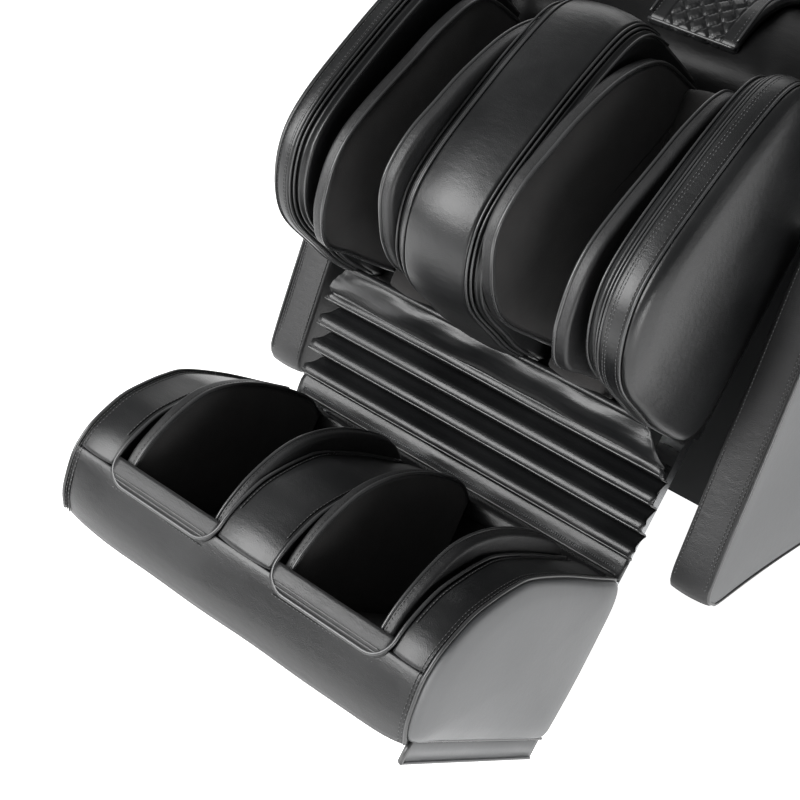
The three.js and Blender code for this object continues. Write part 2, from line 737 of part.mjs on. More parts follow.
// ---- massage mechanism in the back ----
// A gearbox on the two rails, with an arm on each side that holds an upper and a lower roller.
function rollerCarriage() {
  const r = ROLLER;
  const gearbox = alongX(block(-26, 14, r.middle - 60, r.middle + 60, 8), -95, 95);
  const arms = SIDES.map(([, side]) =>
    alongX(
      rounded([
        [-20, r.middle - 20],
        [-20, r.middle + 20],
        [r.y - 8, r.middle + r.spacing / 2 + 8, 8],
        [r.y - 8, r.middle - r.spacing / 2 - 8, 8],
      ]),
      ...span(side, 38, 46),
    ),
  );
  const axles = SIDES.flatMap(([, side]) =>
    [-1, 1].map((end) => barX(5, ...span(side, 42, 76), r.y, r.middle + (end * r.spacing) / 2, 14)),
  );
  return join(gearbox, ...arms, ...axles);
}
add(back, "roller_carriage", rollerCarriage(), plastic);

function massageRoller(side, end) {
  const x0 = side * ROLLER.x - ROLLER.width / 2;
  const x1 = side * ROLLER.x + ROLLER.width / 2;
  const bore = 5.5;
  return turnedX(
    [
      [bore, x0],
      [ROLLER.radius - 7, x0],
      [ROLLER.radius, x0 + 7],
      [ROLLER.radius, x1 - 7],
      [ROLLER.radius - 7, x1],
      [bore, x1],
      [bore, x0],
    ],
    ROLLER.y,
    ROLLER.middle + (end * ROLLER.spacing) / 2,
    20,
  );
}
[
  ["upper", 1],
  ["lower", -1],
].forEach(([word, end]) => pair(back, `massage_roller_${word}`, (side) => massageRoller(side, end), rubber));

export default chair;
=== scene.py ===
# The massage chair's visual model: synthetic leather, mesh fabric, piping and stitching over the CAD frame.
# Lengths in the shape code are millimetres, in the leg rest's, the back's or the chair's own frame.
import math

import bmesh
import bpy
import numpy as np
from mathutils import Matrix, Vector

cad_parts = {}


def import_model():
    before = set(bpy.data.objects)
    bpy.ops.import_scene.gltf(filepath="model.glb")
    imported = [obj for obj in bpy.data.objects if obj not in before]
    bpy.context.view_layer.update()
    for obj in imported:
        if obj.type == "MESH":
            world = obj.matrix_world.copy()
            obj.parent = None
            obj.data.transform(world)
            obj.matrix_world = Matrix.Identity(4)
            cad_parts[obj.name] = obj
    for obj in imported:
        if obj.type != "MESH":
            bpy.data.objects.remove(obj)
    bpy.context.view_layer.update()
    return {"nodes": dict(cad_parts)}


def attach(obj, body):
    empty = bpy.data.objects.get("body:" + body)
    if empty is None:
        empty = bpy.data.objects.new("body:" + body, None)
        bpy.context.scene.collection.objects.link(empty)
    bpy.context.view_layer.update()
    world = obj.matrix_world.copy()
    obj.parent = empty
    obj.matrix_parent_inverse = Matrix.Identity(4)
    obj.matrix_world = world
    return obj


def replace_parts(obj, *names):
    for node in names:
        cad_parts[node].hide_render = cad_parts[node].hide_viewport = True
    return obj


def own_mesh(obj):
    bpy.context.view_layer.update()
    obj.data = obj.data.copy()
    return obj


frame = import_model()

# ---- frames and driving dimensions ----
MM = 0.001
SHIFT = 9.59  # the chair's own frame starts this far behind the box's middle
LEG_ANGLE = math.radians(42.2)
BACK_ANGLE = math.radians(40)
CHAIR = Matrix.Translation((0, SHIFT * MM, 0))
LEG = Matrix.Translation((0, (SHIFT - 950) * MM, 260 * MM)) @ Matrix.Rotation(-LEG_ANGLE, 4, "X")
BACK = Matrix.Translation((0, (SHIFT + 320) * MM, 390 * MM)) @ Matrix.Rotation(-BACK_ANGLE, 4, "X")
SIDES = (("left", -1), ("right", 1))


# ---- materials ----
NOISE = (0.35, 0.65)  # most of a noise texture's values lie between these


def material(name, color, roughness, metallic=0.0, **sockets):
    mat = bpy.data.materials.new(name)
    mat.use_nodes = True
    shader = mat.node_tree.nodes["Principled BSDF"]
    shader.inputs["Base Color"].default_value = (*color, 1)
    shader.inputs["Roughness"].default_value = roughness
    shader.inputs["Metallic"].default_value = metallic
    for socket, value in sockets.items():
        shader.inputs[socket.replace("_", " ")].default_value = value
    return mat


def textured(mat, scale, kind="NOISE", detail=3.0, stretch=(1, 1, 1)):
    """A texture in the object's own coordinates, and the tree it is in."""
    tree = mat.node_tree
    coords = tree.nodes.new("ShaderNodeTexCoord")
    mapping = tree.nodes.new("ShaderNodeMapping")
    mapping.inputs["Scale"].default_value = stretch
    tree.links.new(coords.outputs["Object"], mapping.inputs["Vector"])
    if kind == "VORONOI":
        texture = tree.nodes.new("ShaderNodeTexVoronoi")
        texture.feature = "DISTANCE_TO_EDGE"
        out = texture.outputs["Distance"]
    else:
        texture = tree.nodes.new("ShaderNodeTexNoise")
        texture.inputs["Detail"].default_value = detail
        out = texture.outputs["Fac"]
    texture.inputs["Scale"].default_value = scale
    tree.links.new(mapping.outputs["Vector"], texture.inputs["Vector"])
    return tree, out


def spread(tree, fac, low, high):
    """A noise value mapped to the range from low to high."""
    node = tree.nodes.new("ShaderNodeMapRange")
    node.inputs["From Min"].default_value, node.inputs["From Max"].default_value = NOISE
    node.inputs["To Min"].default_value = low
    node.inputs["To Max"].default_value = high
    tree.links.new(fac, node.inputs["Value"])
    return node.outputs["Result"]


def bumped(mat, layers):
    """Bump from (height socket, distance in mm, strength) layers, the coarsest first."""
    tree = mat.node_tree
    shader = tree.nodes["Principled BSDF"]
    before = None
    for height, distance, strength in layers:
        bump = tree.nodes.new("ShaderNodeBump")
        bump.inputs["Distance"].default_value = distance * MM
        bump.inputs["Strength"].default_value = strength
        tree.links.new(height, bump.inputs["Height"])
        if before is not None:
            tree.links.new(before, bump.inputs["Normal"])
        before = bump.outputs["Normal"]
    tree.links.new(before, shader.inputs["Normal"])


def tinted(mat, fac, dark, light):
    tree = mat.node_tree
    ramp = tree.nodes.new("ShaderNodeValToRGB")
    for stop, position, color in zip(ramp.color_ramp.elements, NOISE, (dark, light)):
        stop.position = position
        stop.color = (*color, 1)
    tree.links.new(fac, ramp.inputs["Fac"])
    tree.links.new(ramp.outputs["Color"], tree.nodes["Principled BSDF"].inputs["Base Color"])


def leather_material(name, dark, light, roughness, grain=0.35, gloss=0.5):
    mat = material(name, light, roughness, Specular_IOR_Level=gloss)
    tree, soft = textured(mat, 9, detail=4)
    _, pores = textured(mat, 520, "VORONOI")
    _, creases = textured(mat, 110, detail=6, stretch=(0.55, 1.3, 1.3))
    tinted(mat, soft, dark, light)
    rough = spread(tree, soft, roughness - 0.05, roughness + 0.05)
    tree.links.new(rough, tree.nodes["Principled BSDF"].inputs["Roughness"])
    bumped(mat, [(soft, 3.0, 0.25), (creases, 0.7, grain * 0.7), (pores, 0.3, grain)])
    return mat


def mesh_fabric_material():
    mat = material("mesh_fabric", (0.008, 0.0075, 0.0075), 0.95, Sheen_Weight=0.14, Sheen_Roughness=0.6)
    tree, soft = textured(mat, 24, detail=7)
    _, knit = textured(mat, 900, "VORONOI", stretch=(1, 0.7, 0.7))
    tinted(mat, soft, (0.0055, 0.005, 0.005), (0.013, 0.0118, 0.0115))
    bumped(mat, [(soft, 3.0, 0.35), (knit, 0.5, 0.6)])
    return mat


def plastic_material(name, color, roughness, grain=0.2):
    mat = material(name, color, roughness)
    tree, soft = textured(mat, 20)
    _, fine = textured(mat, 1500, detail=2)
    tinted(mat, soft, tuple(c * 0.9 for c in color), tuple(c * 1.1 for c in color))
    bumped(mat, [(fine, 0.1, grain)])
    return mat


def steel_material(name, color, roughness, metallic):
    mat = material(name, color, roughness, metallic)
    tree, drawn = textured(mat, 60, detail=6, stretch=(1, 12, 12))
    tinted(mat, drawn, tuple(c * 0.85 for c in color), color)
    rough = spread(tree, drawn, roughness - 0.08, roughness + 0.08)
    tree.links.new(rough, tree.nodes["Principled BSDF"].inputs["Roughness"])
    return mat


LEATHER = leather_material(
    "leather", (0.0075, 0.0078, 0.0082), (0.0125, 0.0129, 0.0134), 0.34, grain=0.6, gloss=0.5)
# A darker copy of the black leather for the seat cushion. This is painted shade, so that the cushion reads as
# lying in shadow.
SHADED_SEAT_LEATHER = leather_material(
    "leather_seat_painted_shade", (0.003, 0.003, 0.0032), (0.0055, 0.0056, 0.0058), 0.4, grain=0.6, gloss=0.2)
# A copy of the black leather with a base colour about four times lighter. This is painted light: it stands in
# for the bright floor and the side softbox reflected in the side-facing panels. The same copy also covers the
# foot skirt, the zip teeth and the back shell.
PANEL_PAINTED_LIGHT = leather_material(
    "leather_panel_painted_light", (0.046, 0.0485, 0.051), (0.058, 0.0605, 0.063), 0.4, grain=0.3, gloss=0.95)
FIN_LEATHER = leather_material(
    "leather_grain", (0.010, 0.010, 0.0105), (0.017, 0.0172, 0.0178), 0.46, grain=1.0)
# The piping is the same black leather, but its base colour is about three times lighter. This is a painted
# highlight, giving the thin light lines along the welts and rims.
PIPING_PAINTED_HIGHLIGHT = leather_material(
    "piping_leather_painted_highlight", (0.03, 0.0305, 0.031), (0.045, 0.0457, 0.0465), 0.3, grain=0.15, gloss=0.7)
THREAD = plastic_material("thread", (0.13, 0.132, 0.135), 0.7, 0.5)
DARK_THREAD = plastic_material("dark_thread", (0.008, 0.008, 0.008), 0.7, 0.5)
MESH = mesh_fabric_material()
MATTE = plastic_material("matte_plastic", (0.022, 0.023, 0.024), 0.55)
KEY = plastic_material("key_plastic", (0.32, 0.33, 0.34), 0.35)
RUBBER = plastic_material("rubber", (0.014, 0.014, 0.014), 0.8, 0.4)
STEEL = steel_material("steel", (0.45, 0.46, 0.47), 0.35, 1.0)
PAINT = steel_material("frame_paint", (0.02, 0.021, 0.022), 0.45, 0.0)


# ---- mesh helpers ----
def world(points, place):
    m = np.array(place)
    return (np.asarray(points, float) * MM) @ m[:3, :3].T + m[:3, 3]


class Piece:
    """Collects surfaces with their materials, and makes them one object on a body."""

    def __init__(self):
        self.verts, self.faces, self.slots, self.mats = [], [], [], []

    def add(self, verts, faces, mats):
        """mats is one material, or one for each face."""
        if not isinstance(mats, list):
            mats = [mats] * len(faces)
        for mat in mats:
            if mat not in self.mats:
                self.mats.append(mat)
        start = len(self.verts)
        self.verts.extend(map(tuple, verts))
        self.faces.extend(tuple(i + start for i in f) for f in faces)
        self.slots.extend(self.mats.index(m) for m in mats)
        return self

    def make(self, name, place, body, slot="leather", warp=None):
        verts = np.array(self.verts, float)
        if warp is not None:
            verts = warp(verts)
        mesh = bpy.data.meshes.new(name)
        mesh.from_pydata(world(verts, place).tolist(), [], self.faces)
        for mat in self.mats:
            mesh.materials.append(mat)
        mesh.polygons.foreach_set("material_index", self.slots)
        mesh.polygons.foreach_set("use_smooth", [True] * len(self.faces))
        mesh.update()
        obj = bpy.data.objects.new(name, mesh)
        bpy.context.collection.objects.link(obj)
        shell = bmesh.new()
        shell.from_mesh(mesh)
        bmesh.ops.recalc_face_normals(shell, faces=shell.faces)
        shell.to_mesh(mesh)
        shell.free()
        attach(obj, body)
        return obj


def resample(points, spacing):
    points = np.asarray(points, float)
    steps = np.linalg.norm(np.diff(points, axis=0), axis=1)
    along = np.concatenate([[0], np.cumsum(steps)])
    count = max(2, int(round(along[-1] / spacing)) + 1)
    at = np.linspace(0, along[-1], count)
    return np.stack([np.interp(at, along, points[:, k]) for k in range(points.shape[1])], axis=1)


CURVE_STEPS = 24


def curve(points, spacing=6.0):
    """A smooth open curve through the points (Catmull-Rom), evenly spaced."""
    p = np.asarray(points, float)
    p = np.vstack([2 * p[0] - p[1], p, 2 * p[-1] - p[-2]])
    dense = []
    for a, b, c, d in zip(p, p[1:], p[2:], p[3:]):
        for t in np.linspace(0, 1, CURVE_STEPS, endpoint=False):
            square = (2 * a - 5 * b + 4 * c - d) * t**2
            cube = (3 * b - a - 3 * c + d) * t**3
            dense.append(0.5 * ((2 * b) + (c - a) * t + square + cube))
    dense.append(p[-2])
    return resample(dense, spacing)


def relaxed(points, passes):
    """An open curve with its bends eased."""
    p = np.array(points, float)
    for _ in range(passes):
        p[1:-1] = (p[:-2] + 2 * p[1:-1] + p[2:]) / 4
    return p


def rounded(corners, spacing=8.0):
    """A closed outline: each corner is (a, b) or (a, b, radius), its round a quadratic curve."""
    points = []
    for i, corner in enumerate(corners):
        here = np.array(corner[:2], float)
        radius = corner[2] if len(corner) > 2 else 0
        before = np.array(corners[i - 1][:2], float)
        after = np.array(corners[(i + 1) % len(corners)][:2], float)
        start = here + (before - here) / np.linalg.norm(before - here) * radius
        end = here + (after - here) / np.linalg.norm(after - here) * radius
        if radius == 0:
            points.append(here)
            continue
        for t in np.linspace(0, 1, 9):
            points.append((1 - t) ** 2 * start + 2 * t * (1 - t) * here + t**2 * end)
    return resample(points + [points[0]], spacing)[:-1]


def block(a0, a1, b0, b1, radius, spacing=8.0):
    return rounded([(a0, b0, radius), (a1, b0, radius), (a1, b1, radius), (a0, b1, radius)], spacing)


def outward(points, closed):
    """Unit normals of a 2-D curve, to its left, or outwards if it is closed."""
    if closed:
        tangent = np.roll(points, -1, axis=0) - np.roll(points, 1, axis=0)
    else:
        tangent = np.gradient(points, axis=0)
    tangent = tangent / np.maximum(np.linalg.norm(tangent, axis=1, keepdims=True), 1e-9)
    normal = np.stack([-tangent[:, 1], tangent[:, 0]], axis=1)
    if closed:
        a, b = points, np.roll(points, -1, axis=0)
        if np.sum(a[:, 0] * b[:, 1] - b[:, 0] * a[:, 1]) > 0:
            normal = -normal
    return normal


AXES = {"x": (2, 0, 1), "y": (0, 2, 1), "z": (0, 1, 2)}  # which of (a, b, along) is x, y and z
DOME_SHARES = (0.97, 0.85, 0.7, 0.55, 0.4, 0.27, 0.16, 0.08, 0.03)
EDGE_BEND = (0, 22, 45, 68)  # degrees round a slab's edge


def section(x0, x1, edge, dome0=0.0, dome1=0.0, crown=0.0, steps=8, mats=None):
    """Rows of a slab from the middle of its x0 side, over its rim, to the middle of its x1 side.
    A row is (along, inset, share of the way to the middle, material)."""
    side0, rim, side1 = mats or (LEATHER, LEATHER, LEATHER)
    shares = DOME_SHARES
    bend = [math.radians(a) for a in EDGE_BEND]
    rows = [(x0 - dome0 * (1 - (1 - t) ** 4), edge, t, side0) for t in shares]
    rows += [(x0 + edge * (1 - math.cos(a)), edge * (1 - math.sin(a)), 0, rim if a else side0) for a in bend]
    for x in np.linspace(x0 + edge, x1 - edge, steps + 1):
        u = 2 * (x - x0 - edge) / max(x1 - x0 - 2 * edge, 1e-6) - 1
        rows.append((x, -crown * (1 - u * u), 0, rim))
    rows += [(x1 - edge * (1 - math.cos(a)), edge * (1 - math.sin(a)), 0, rim) for a in reversed(bend)]
    rows += [(x1 + dome1 * (1 - (1 - t) ** 4), edge, t, side1) for t in reversed(shares)]
    return rows


WELT_DEPTH = 16  # how far a side panel's edge runs in under the welt
SHOULDER_BEND = np.radians(np.linspace(12, 90, 9))
EASING_PASSES = 90
FACE_SHARES = (0.24, 0.29, 0.35, 0.42, 0.5, 0.58, 0.66, 0.74, 0.82, 0.9, 0.97)


def shoulder(x0, x1, drop, bulge, mat):
    """Rows of a side panel that starts at a welt at x0, and turns over a soft shoulder to its face at x1.
    drop is the share of the way to the middle that the shoulder takes up."""
    rows = [(x0, WELT_DEPTH, t, mat) for t in (0.97, 0.5, 0)]
    rows += [(x0, 6, 0, mat), (x0 + 0.6, 2, 0, mat)]
    for a in SHOULDER_BEND:
        rows.append((x0 + (x1 - x0) * math.sin(a), 0.4, drop * (1 - math.cos(a)), mat))
    rows += [(x1 + bulge * (1 - (1 - t) ** 2), 0.4, t, mat) for t in FACE_SHARES]
    return rows


def side_panel(outline, rows, middle, side):
    """A slab with its outer face's height evened out, so that no ridge runs in from the outline's corners."""
    for _ in range(3):
        outline = (np.roll(outline, 1, axis=0) + 2 * outline + np.roll(outline, -1, axis=0)) / 4
    verts, faces, mats = slab(outline, rows, middle=middle)
    n = len(outline)
    first = len(rows) - len(FACE_SHARES) - 5  # the last five rows of the shoulder are eased as well
    height = verts[: len(rows) * n, 0].reshape(len(rows), n)
    for _ in range(EASING_PASSES):
        around = np.roll(height, 1, axis=1) + np.roll(height, -1, axis=1)
        height[first:-1] = (around[first:-1] * 2 + height[first - 1:-2] + height[first + 1:]) / 6
        height[-1] = height[-2].mean()
    verts[: len(rows) * n, 0] = height.ravel()
    verts[-1, 0] = height[-1].mean()
    verts[:, 0] *= side
    return verts, faces, mats


def slab(outline, rows, axis="x", relief=None, warp=None, middle=None):
    """Verts, faces and face materials of a padded slab: the closed outline, swept along an axis by its rows.
    relief gives an extra depth at each point, and warp moves the finished verts."""
    outline = np.asarray(outline, float)
    normal = outward(outline, True)
    middle = outline.mean(axis=0) if middle is None else np.asarray(middle, float)
    lengths = np.linalg.norm(np.roll(outline, -1, axis=0) - outline, axis=1)
    arc = np.concatenate([[0], np.cumsum(lengths)[:-1]])
    n = len(outline)
    verts, faces, mats = [], [], []
    for along, inset, share, _ in rows:
        depth = np.full(n, float(inset))
        if relief is not None:
            depth = depth + relief(along, arc, outline) * (1 - share)
        ring = outline - normal * depth[:, None]
        ring = middle + (ring - middle) * (1 - share)
        verts.append(np.column_stack([ring, np.full(n, along)]))
    ends = np.array([[*middle, rows[0][0]], [*middle, rows[-1][0]]])
    verts = np.vstack(verts + [ends])
    for r in range(len(rows) - 1):
        for i in range(n):
            j = (i + 1) % n
            faces.append((r * n + i, r * n + j, (r + 1) * n + j, (r + 1) * n + i))
            mats.append(rows[r][3] if rows[r][2] else rows[r + 1][3])
    first, last, top = len(rows) * n, len(rows) * n + 1, (len(rows) - 1) * n
    for i in range(n):
        j = (i + 1) % n
        faces += [(first, j, i), (last, top + i, top + j)]
        mats += [rows[0][3], rows[-1][3]]
    verts = verts[:, AXES[axis]]
    if warp is not None:
        verts = warp(verts)
    return verts, faces, mats


def tube(points, radius, closed=False, sides=8):
    """A round cord along 3-D points."""
    p = np.asarray(points, float)
    if closed:
        tangent = np.roll(p, -1, axis=0) - np.roll(p, 1, axis=0)
    else:
        tangent = np.gradient(p, axis=0)
    tangent /= np.maximum(np.linalg.norm(tangent, axis=1, keepdims=True), 1e-9)
    side = np.cross(tangent[0], [0.31, 0.52, 0.79])
    side /= np.linalg.norm(side)
    verts = []
    for here, t in zip(p, tangent):
        side = side - t * side.dot(t)
        side /= np.linalg.norm(side)
        other = np.cross(t, side)
        for a in np.linspace(0, 2 * math.pi, sides, endpoint=False):
            verts.append(here + radius * (math.cos(a) * side + math.sin(a) * other))
    n = len(p)
    faces = []
    for r in range(n if closed else n - 1):
        s = (r + 1) % n
        for i in range(sides):
            j = (i + 1) % sides
            faces.append((r * sides + i, r * sides + j, s * sides + j, s * sides + i))
    if not closed:
        faces.append(tuple(range(sides)))
        faces.append(tuple(reversed(range((n - 1) * sides, n * sides))))
    return verts, faces


def stitches(points, lift, length=3.3, gap=1.7, width=1.1):
    """Threads along 3-D points, each a slim lens on the surface; lift is the surface normal at each point."""
    pitch = length + gap
    both = resample(np.hstack([points, lift]), pitch)
    p, up = both[:, :3], both[:, 3:]
    tangent = np.gradient(p, axis=0)
    tangent /= np.maximum(np.linalg.norm(tangent, axis=1, keepdims=True), 1e-9)
    up = up / np.linalg.norm(up, axis=1, keepdims=True)
    side = np.cross(tangent, up)
    verts, faces = [], []
    for here, t, u, s in zip(p, tangent, up, side):
        k = len(verts)
        verts += [here - t * length / 2, here + t * length / 2]
        for angle in (0, 90, 180, 270):
            a = math.radians(angle)
            verts.append(here + width / 2 * (math.cos(a) * s + math.sin(a) * u))
        for i in range(4):
            j = (i + 1) % 4
            faces += [(k, k + 2 + j, k + 2 + i), (k + 1, k + 2 + i, k + 2 + j)]
    return verts, faces


GROOVE = {"depth": 0.35, "radius": 0.6, "spacing": 6}


def seam(piece, points, lift):
    """A sewn line: light threads over a dark groove, along 3-D points on a surface with the given normals."""
    up = lift / np.linalg.norm(lift, axis=1, keepdims=True)
    groove = resample(points - up * GROOVE["depth"], GROOVE["spacing"])
    piece.add(*tube(groove, GROOVE["radius"], sides=6), DARK_THREAD)
    piece.add(*stitches(points, lift), THREAD)


def on_rim(path, x, lift=0.0):
    """3-D points over a (y, z) path at one x, lifted along its normal, and those normals."""
    normal = outward(path, False)
    at = path + normal * lift
    flat = np.full(len(path), float(x))
    return np.column_stack([flat, at]), np.column_stack([flat * 0, normal])


def pad(name, piece, place, body, nodes=(), slot="leather", warp=None):
    obj = piece.make(name, place, body, slot, warp)
    if nodes:
        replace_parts(obj, *nodes)
    return obj


# ---- foot unit, in the leg rest's frame ----
FOOT_HALF = 248
FOOT_WALL_HALF = FOOT_HALF - 3  # to the welt between the outer walls and the side panels
STRIP_IN = 201  # inner edge of the outer foot walls
MIDDLE_HALF = 39
LEFT_SPREAD = 11  # how much further out the left end stands
TOE_SWELL = 11
foot_toe = curve([(0, 0), (-14, 18), (-22, 39), (-26.5, 58), (-27, 70)])
foot_dome = curve([(-27, 70), (-22, 92), (-11, 113), (6, 136), (29, 154), (57, 171), (88, 183), (159, 192),
                   (238, 196), (291, 199)])
foot_heel = curve([(291, 199), (303, 193), (311, 175), (313, 150), (314, 75), (308, 0)])


def foot_fit(verts):
    """The foot unit's full ends and the swell of its toe panel, as the stuffing leaves them."""
    x, y, z = verts.T
    low = np.clip((66 - z) / 66, 0, 1) * np.clip((60 - y) / 60, 0, 1)
    swell = TOE_SWELL * low * (3 - 2 * low) * low
    flat = 1 - np.clip(np.abs(x) / FOOT_HALF, 0, 1) ** 10
    wide = np.clip((-x - STRIP_IN) / (FOOT_HALF - STRIP_IN), 0, 1.2)
    return np.column_stack([x - LEFT_SPREAD * wide, y, z - swell * (0.25 + 0.75 * flat)])


def foot_side(word, side):
    outline = np.vstack([foot_toe[:-1], foot_dome[:-1], foot_heel, resample([(308, 0), (0, 0)], 12)[1:-1]])
    # The side panel's face gets the lighter leather copy: a painted reflection of the floor and the side
    # light.
    rows = shoulder(FOOT_WALL_HALF, FOOT_HALF + 8, 0.19, 9, PANEL_PAINTED_LIGHT)
    piece = Piece().add(*side_panel(outline, rows, (160, 95), side))
    return pad(f"foot_side_{word}", piece, LEG, "foot", warp=foot_fit)


def foot_wall(name, x0, x1, crown):
    tuck = [(-22, 70.6), (-25.4, 70.8), (-26.8, 71.6)]  # where the wall runs in under the toe panel's seam
    front = np.vstack([resample([(40, 4), (20, 40), (-16, 69)], 8), tuck])
    outline = np.vstack([front, foot_dome[1:], foot_heel[1:-1], resample([(308, 4), (40, 4)], 14)[:-1]])
    wall = Piece().add(*slab(outline, section(x0, x1, 4, crown=crown), middle=(150, 90)))
    return pad(name, wall, LEG, "foot", warp=foot_fit)


def toe_panel():
    back = np.vstack([[(-26.9, 68.6), (-26, 69.8), (-23, 70)], resample([(-18, 69), (22, 60), (30, 4)], 6)])
    outline = np.vstack([foot_toe[:-1], back, resample([(30, 4), (8, 0)], 8)[1:]])

    def wave(x, arc, _):
        return 0.6 * np.sin(x / 61 + arc / 47) + 0.4 * np.sin(x / 23 - arc / 31)

    rows = section(-FOOT_WALL_HALF, FOOT_WALL_HALF, 1.5, steps=60)
    piece = Piece().add(*slab(outline, rows, relief=wave))
    return pad("foot_toe_panel", piece, LEG, "foot", ["foot_housing"], warp=foot_fit)


WELL_FRONT = -13  # how far the wells' front edges dip below the seam over the toe panel
foot_profile = np.vstack([foot_toe[:-1], foot_dome])


def on_foot(u):
    """Point and normal on the foot unit's profile, at a distance above the toe panel's seam."""
    along = np.concatenate([[0], np.cumsum(np.linalg.norm(np.diff(foot_profile, axis=0), axis=1))])
    at = np.asarray(u, float) + along[len(foot_toe) - 1]
    both = np.column_stack([foot_profile, outward(foot_profile, False)])
    return np.column_stack([np.interp(at, along, both[:, k]) for k in range(4)])


def well_rim(side):
    """The piping round a foot well: down one wall, round its toe corners and back up the other."""
    inner, outer, corner, reach = MIDDLE_HALF + 1, STRIP_IN - 1, 26, 330
    turn = np.linspace(0, math.pi / 2, 9)[1:]
    flat = [(outer, u) for u in np.linspace(reach, WELL_FRONT + corner, 50)]
    flat += [(outer - corner * (1 - math.cos(a)), WELL_FRONT + corner * (1 - math.sin(a))) for a in turn]
    flat += [(x, WELL_FRONT) for x in np.linspace(outer - corner, inner + corner, 24)[1:]]
    flat += [(inner + corner * (1 - math.sin(a)), WELL_FRONT + corner * (1 - math.cos(a))) for a in turn]
    flat += [(inner, u) for u in np.linspace(WELL_FRONT + corner, reach, 50)[1:]]
    flat = np.array(flat)
    at = on_foot(flat[:, 1])
    points = np.column_stack([flat[:, 0] * side, at[:, :2] + at[:, 2:] * 0.8])
    return points, np.column_stack([0 * flat[:, 0], at[:, 2:]])


def well_lip(side):
    """The bound fabric edge that laps over the toe panel in front of a foot well."""
    u = np.linspace(WELL_FRONT, 14, 8)
    at = on_foot(u)
    path = at[:, :2] + at[:, 2:] * (0.9 + 1.2 * np.sin((u - WELL_FRONT) / 27 * math.pi))[:, None]
    squeeze = 1 - 0.13 * np.clip(-u / 13, 0, 1) ** 2
    middle = side * (MIDDLE_HALF + STRIP_IN) / 2
    half = (STRIP_IN - MIDDLE_HALF) / 2 - 2
    verts, faces = slab_strip(path, -half, half, 24, 3.0, None, squeeze)
    verts[:, 0] += middle
    lip = Piece().add(verts, faces, FIN_LEATHER)
    for drop in (5, 9):
        line = on_foot(WELL_FRONT + drop)[0]
        points = [(middle + x, *(line[:2] + line[2:] * 2.0)) for x in np.linspace(-half + 8, half - 8, 40)]
        lip.add(*tube(points, 0.8, sides=6), PIPING_PAINTED_HIGHLIGHT)
    lip.make(f"foot_well_lip_{'right' if side > 0 else 'left'}", LEG, "foot", warp=foot_fit)
    line = on_foot(WELL_FRONT - 4)[0]
    at = line[:2] + line[2:] * 0.3
    points = np.array([(middle + x, *at) for x in np.linspace(-half + 12, half - 12, 60)])
    seam(foot_thread, points, np.tile([0, *line[2:]], (len(points), 1)))


boot_inner_rim = curve([(-16, 62), (-16, 80), (-12, 102), (6, 140), (42, 180), (95, 205), (160, 216),
                        (225, 214), (262, 196)])
boot_outer_rim = curve([(-16, 62), (-20, 80), (-14, 110), (9, 152), (40, 184), (92, 204), (160, 212),
                        (225, 210), (262, 196)])
boot_underside = resample([(262, 196), (272, 120), (268, 40), (10, 36), (-16, 62)], 10)[1:-1]
boot_lining = curve([(-24, 69), (-12, 60), (20, 50), (90, 47), (200, 47), (262, 50), (276, 70), (281, 130),
                     (284, 192)], 10)


def foot_boot(word, side):
    """The lining of a foot well: two piped air pads that rise above the walls, a heel and a sole."""
    for which, rim, x0, x1 in (("inner", boot_inner_rim, 43, 57), ("outer", boot_outer_rim, 176, 192)):
        outline = np.vstack([rim, boot_underside])
        fabric_first = which == "outer"
        mats = (MESH, FIN_LEATHER, FIN_LEATHER) if fabric_first else (FIN_LEATHER, FIN_LEATHER, MESH)
        domes = (14, 2) if fabric_first else (2, 14)
        rows = section(x0, x1, 4.5, *domes, mats=mats, steps=3)
        verts, faces, mats = slab(outline, rows, middle=(150, 110))
        verts[:, 0] *= side
        boot = Piece().add(verts, faces, mats)
        nodes = [f"foot_air_cell_{word}"] if which == "inner" else []
        pad(f"foot_boot_{which}_{word}", boot, LEG, "foot", nodes, "mesh_fabric")
        edge = x0 + 2 if fabric_first else x1 - 2
        points, normals = on_rim(rim, edge * side, -0.4)
        foot_piping.add(*tube(points, 2.0), PIPING_PAINTED_HIGHLIGHT)
        points, normals = on_rim(rim, (edge + (4 if fabric_first else -4)) * side, 0.1)
        foot_thread.add(*stitches(points, normals), DARK_THREAD)
    lining = Piece().add(*slab_strip(boot_lining, 41 * side, 200 * side, 16, 3.0), MESH)
    liner = lining.make(f"foot_lining_{word}", LEG, "foot", "mesh_fabric")
    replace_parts(liner, f"foot_sole_pad_{word}")


def slab_strip(path, x0, x1, steps, thick, relief=None, reach=1.0):
    """A strip of the given thickness under a (y, z) path from x0 to x1, closed all round.
    relief raises the path at each x, and reach stretches it sideways at each point."""
    normal = outward(path, False)
    xs = np.linspace(x0, x1, steps + 1)
    n = len(path)
    top, under = [], []
    for x in xs:
        lift = np.zeros(n) if relief is None else relief(x, path)
        across = np.full(n, x) * reach
        top.append(np.column_stack([across, path + normal * lift[:, None]]))
        under.append(np.column_stack([across, path + normal * (lift - thick)[:, None]]))
    verts = np.vstack(top + under)
    faces = []
    low = len(xs) * n
    for r in range(steps):
        for i in range(n - 1):
            a, b = r * n + i, (r + 1) * n + i
            faces.append((a, a + 1, b + 1, b))
            faces.append((low + a, low + b, low + b + 1, low + a + 1))
    for i in range(n - 1):
        faces.append((i, low + i, low + i + 1, i + 1))
        k = steps * n + i
        faces.append((k, k + 1, low + k + 1, low + k))
    for r in range(steps):
        a, b = r * n, (r + 1) * n
        faces.append((a, b, low + b, low + a))
        a, b = a + n - 1, b + n - 1
        faces.append((a, low + a, low + b, b))
    return verts, faces


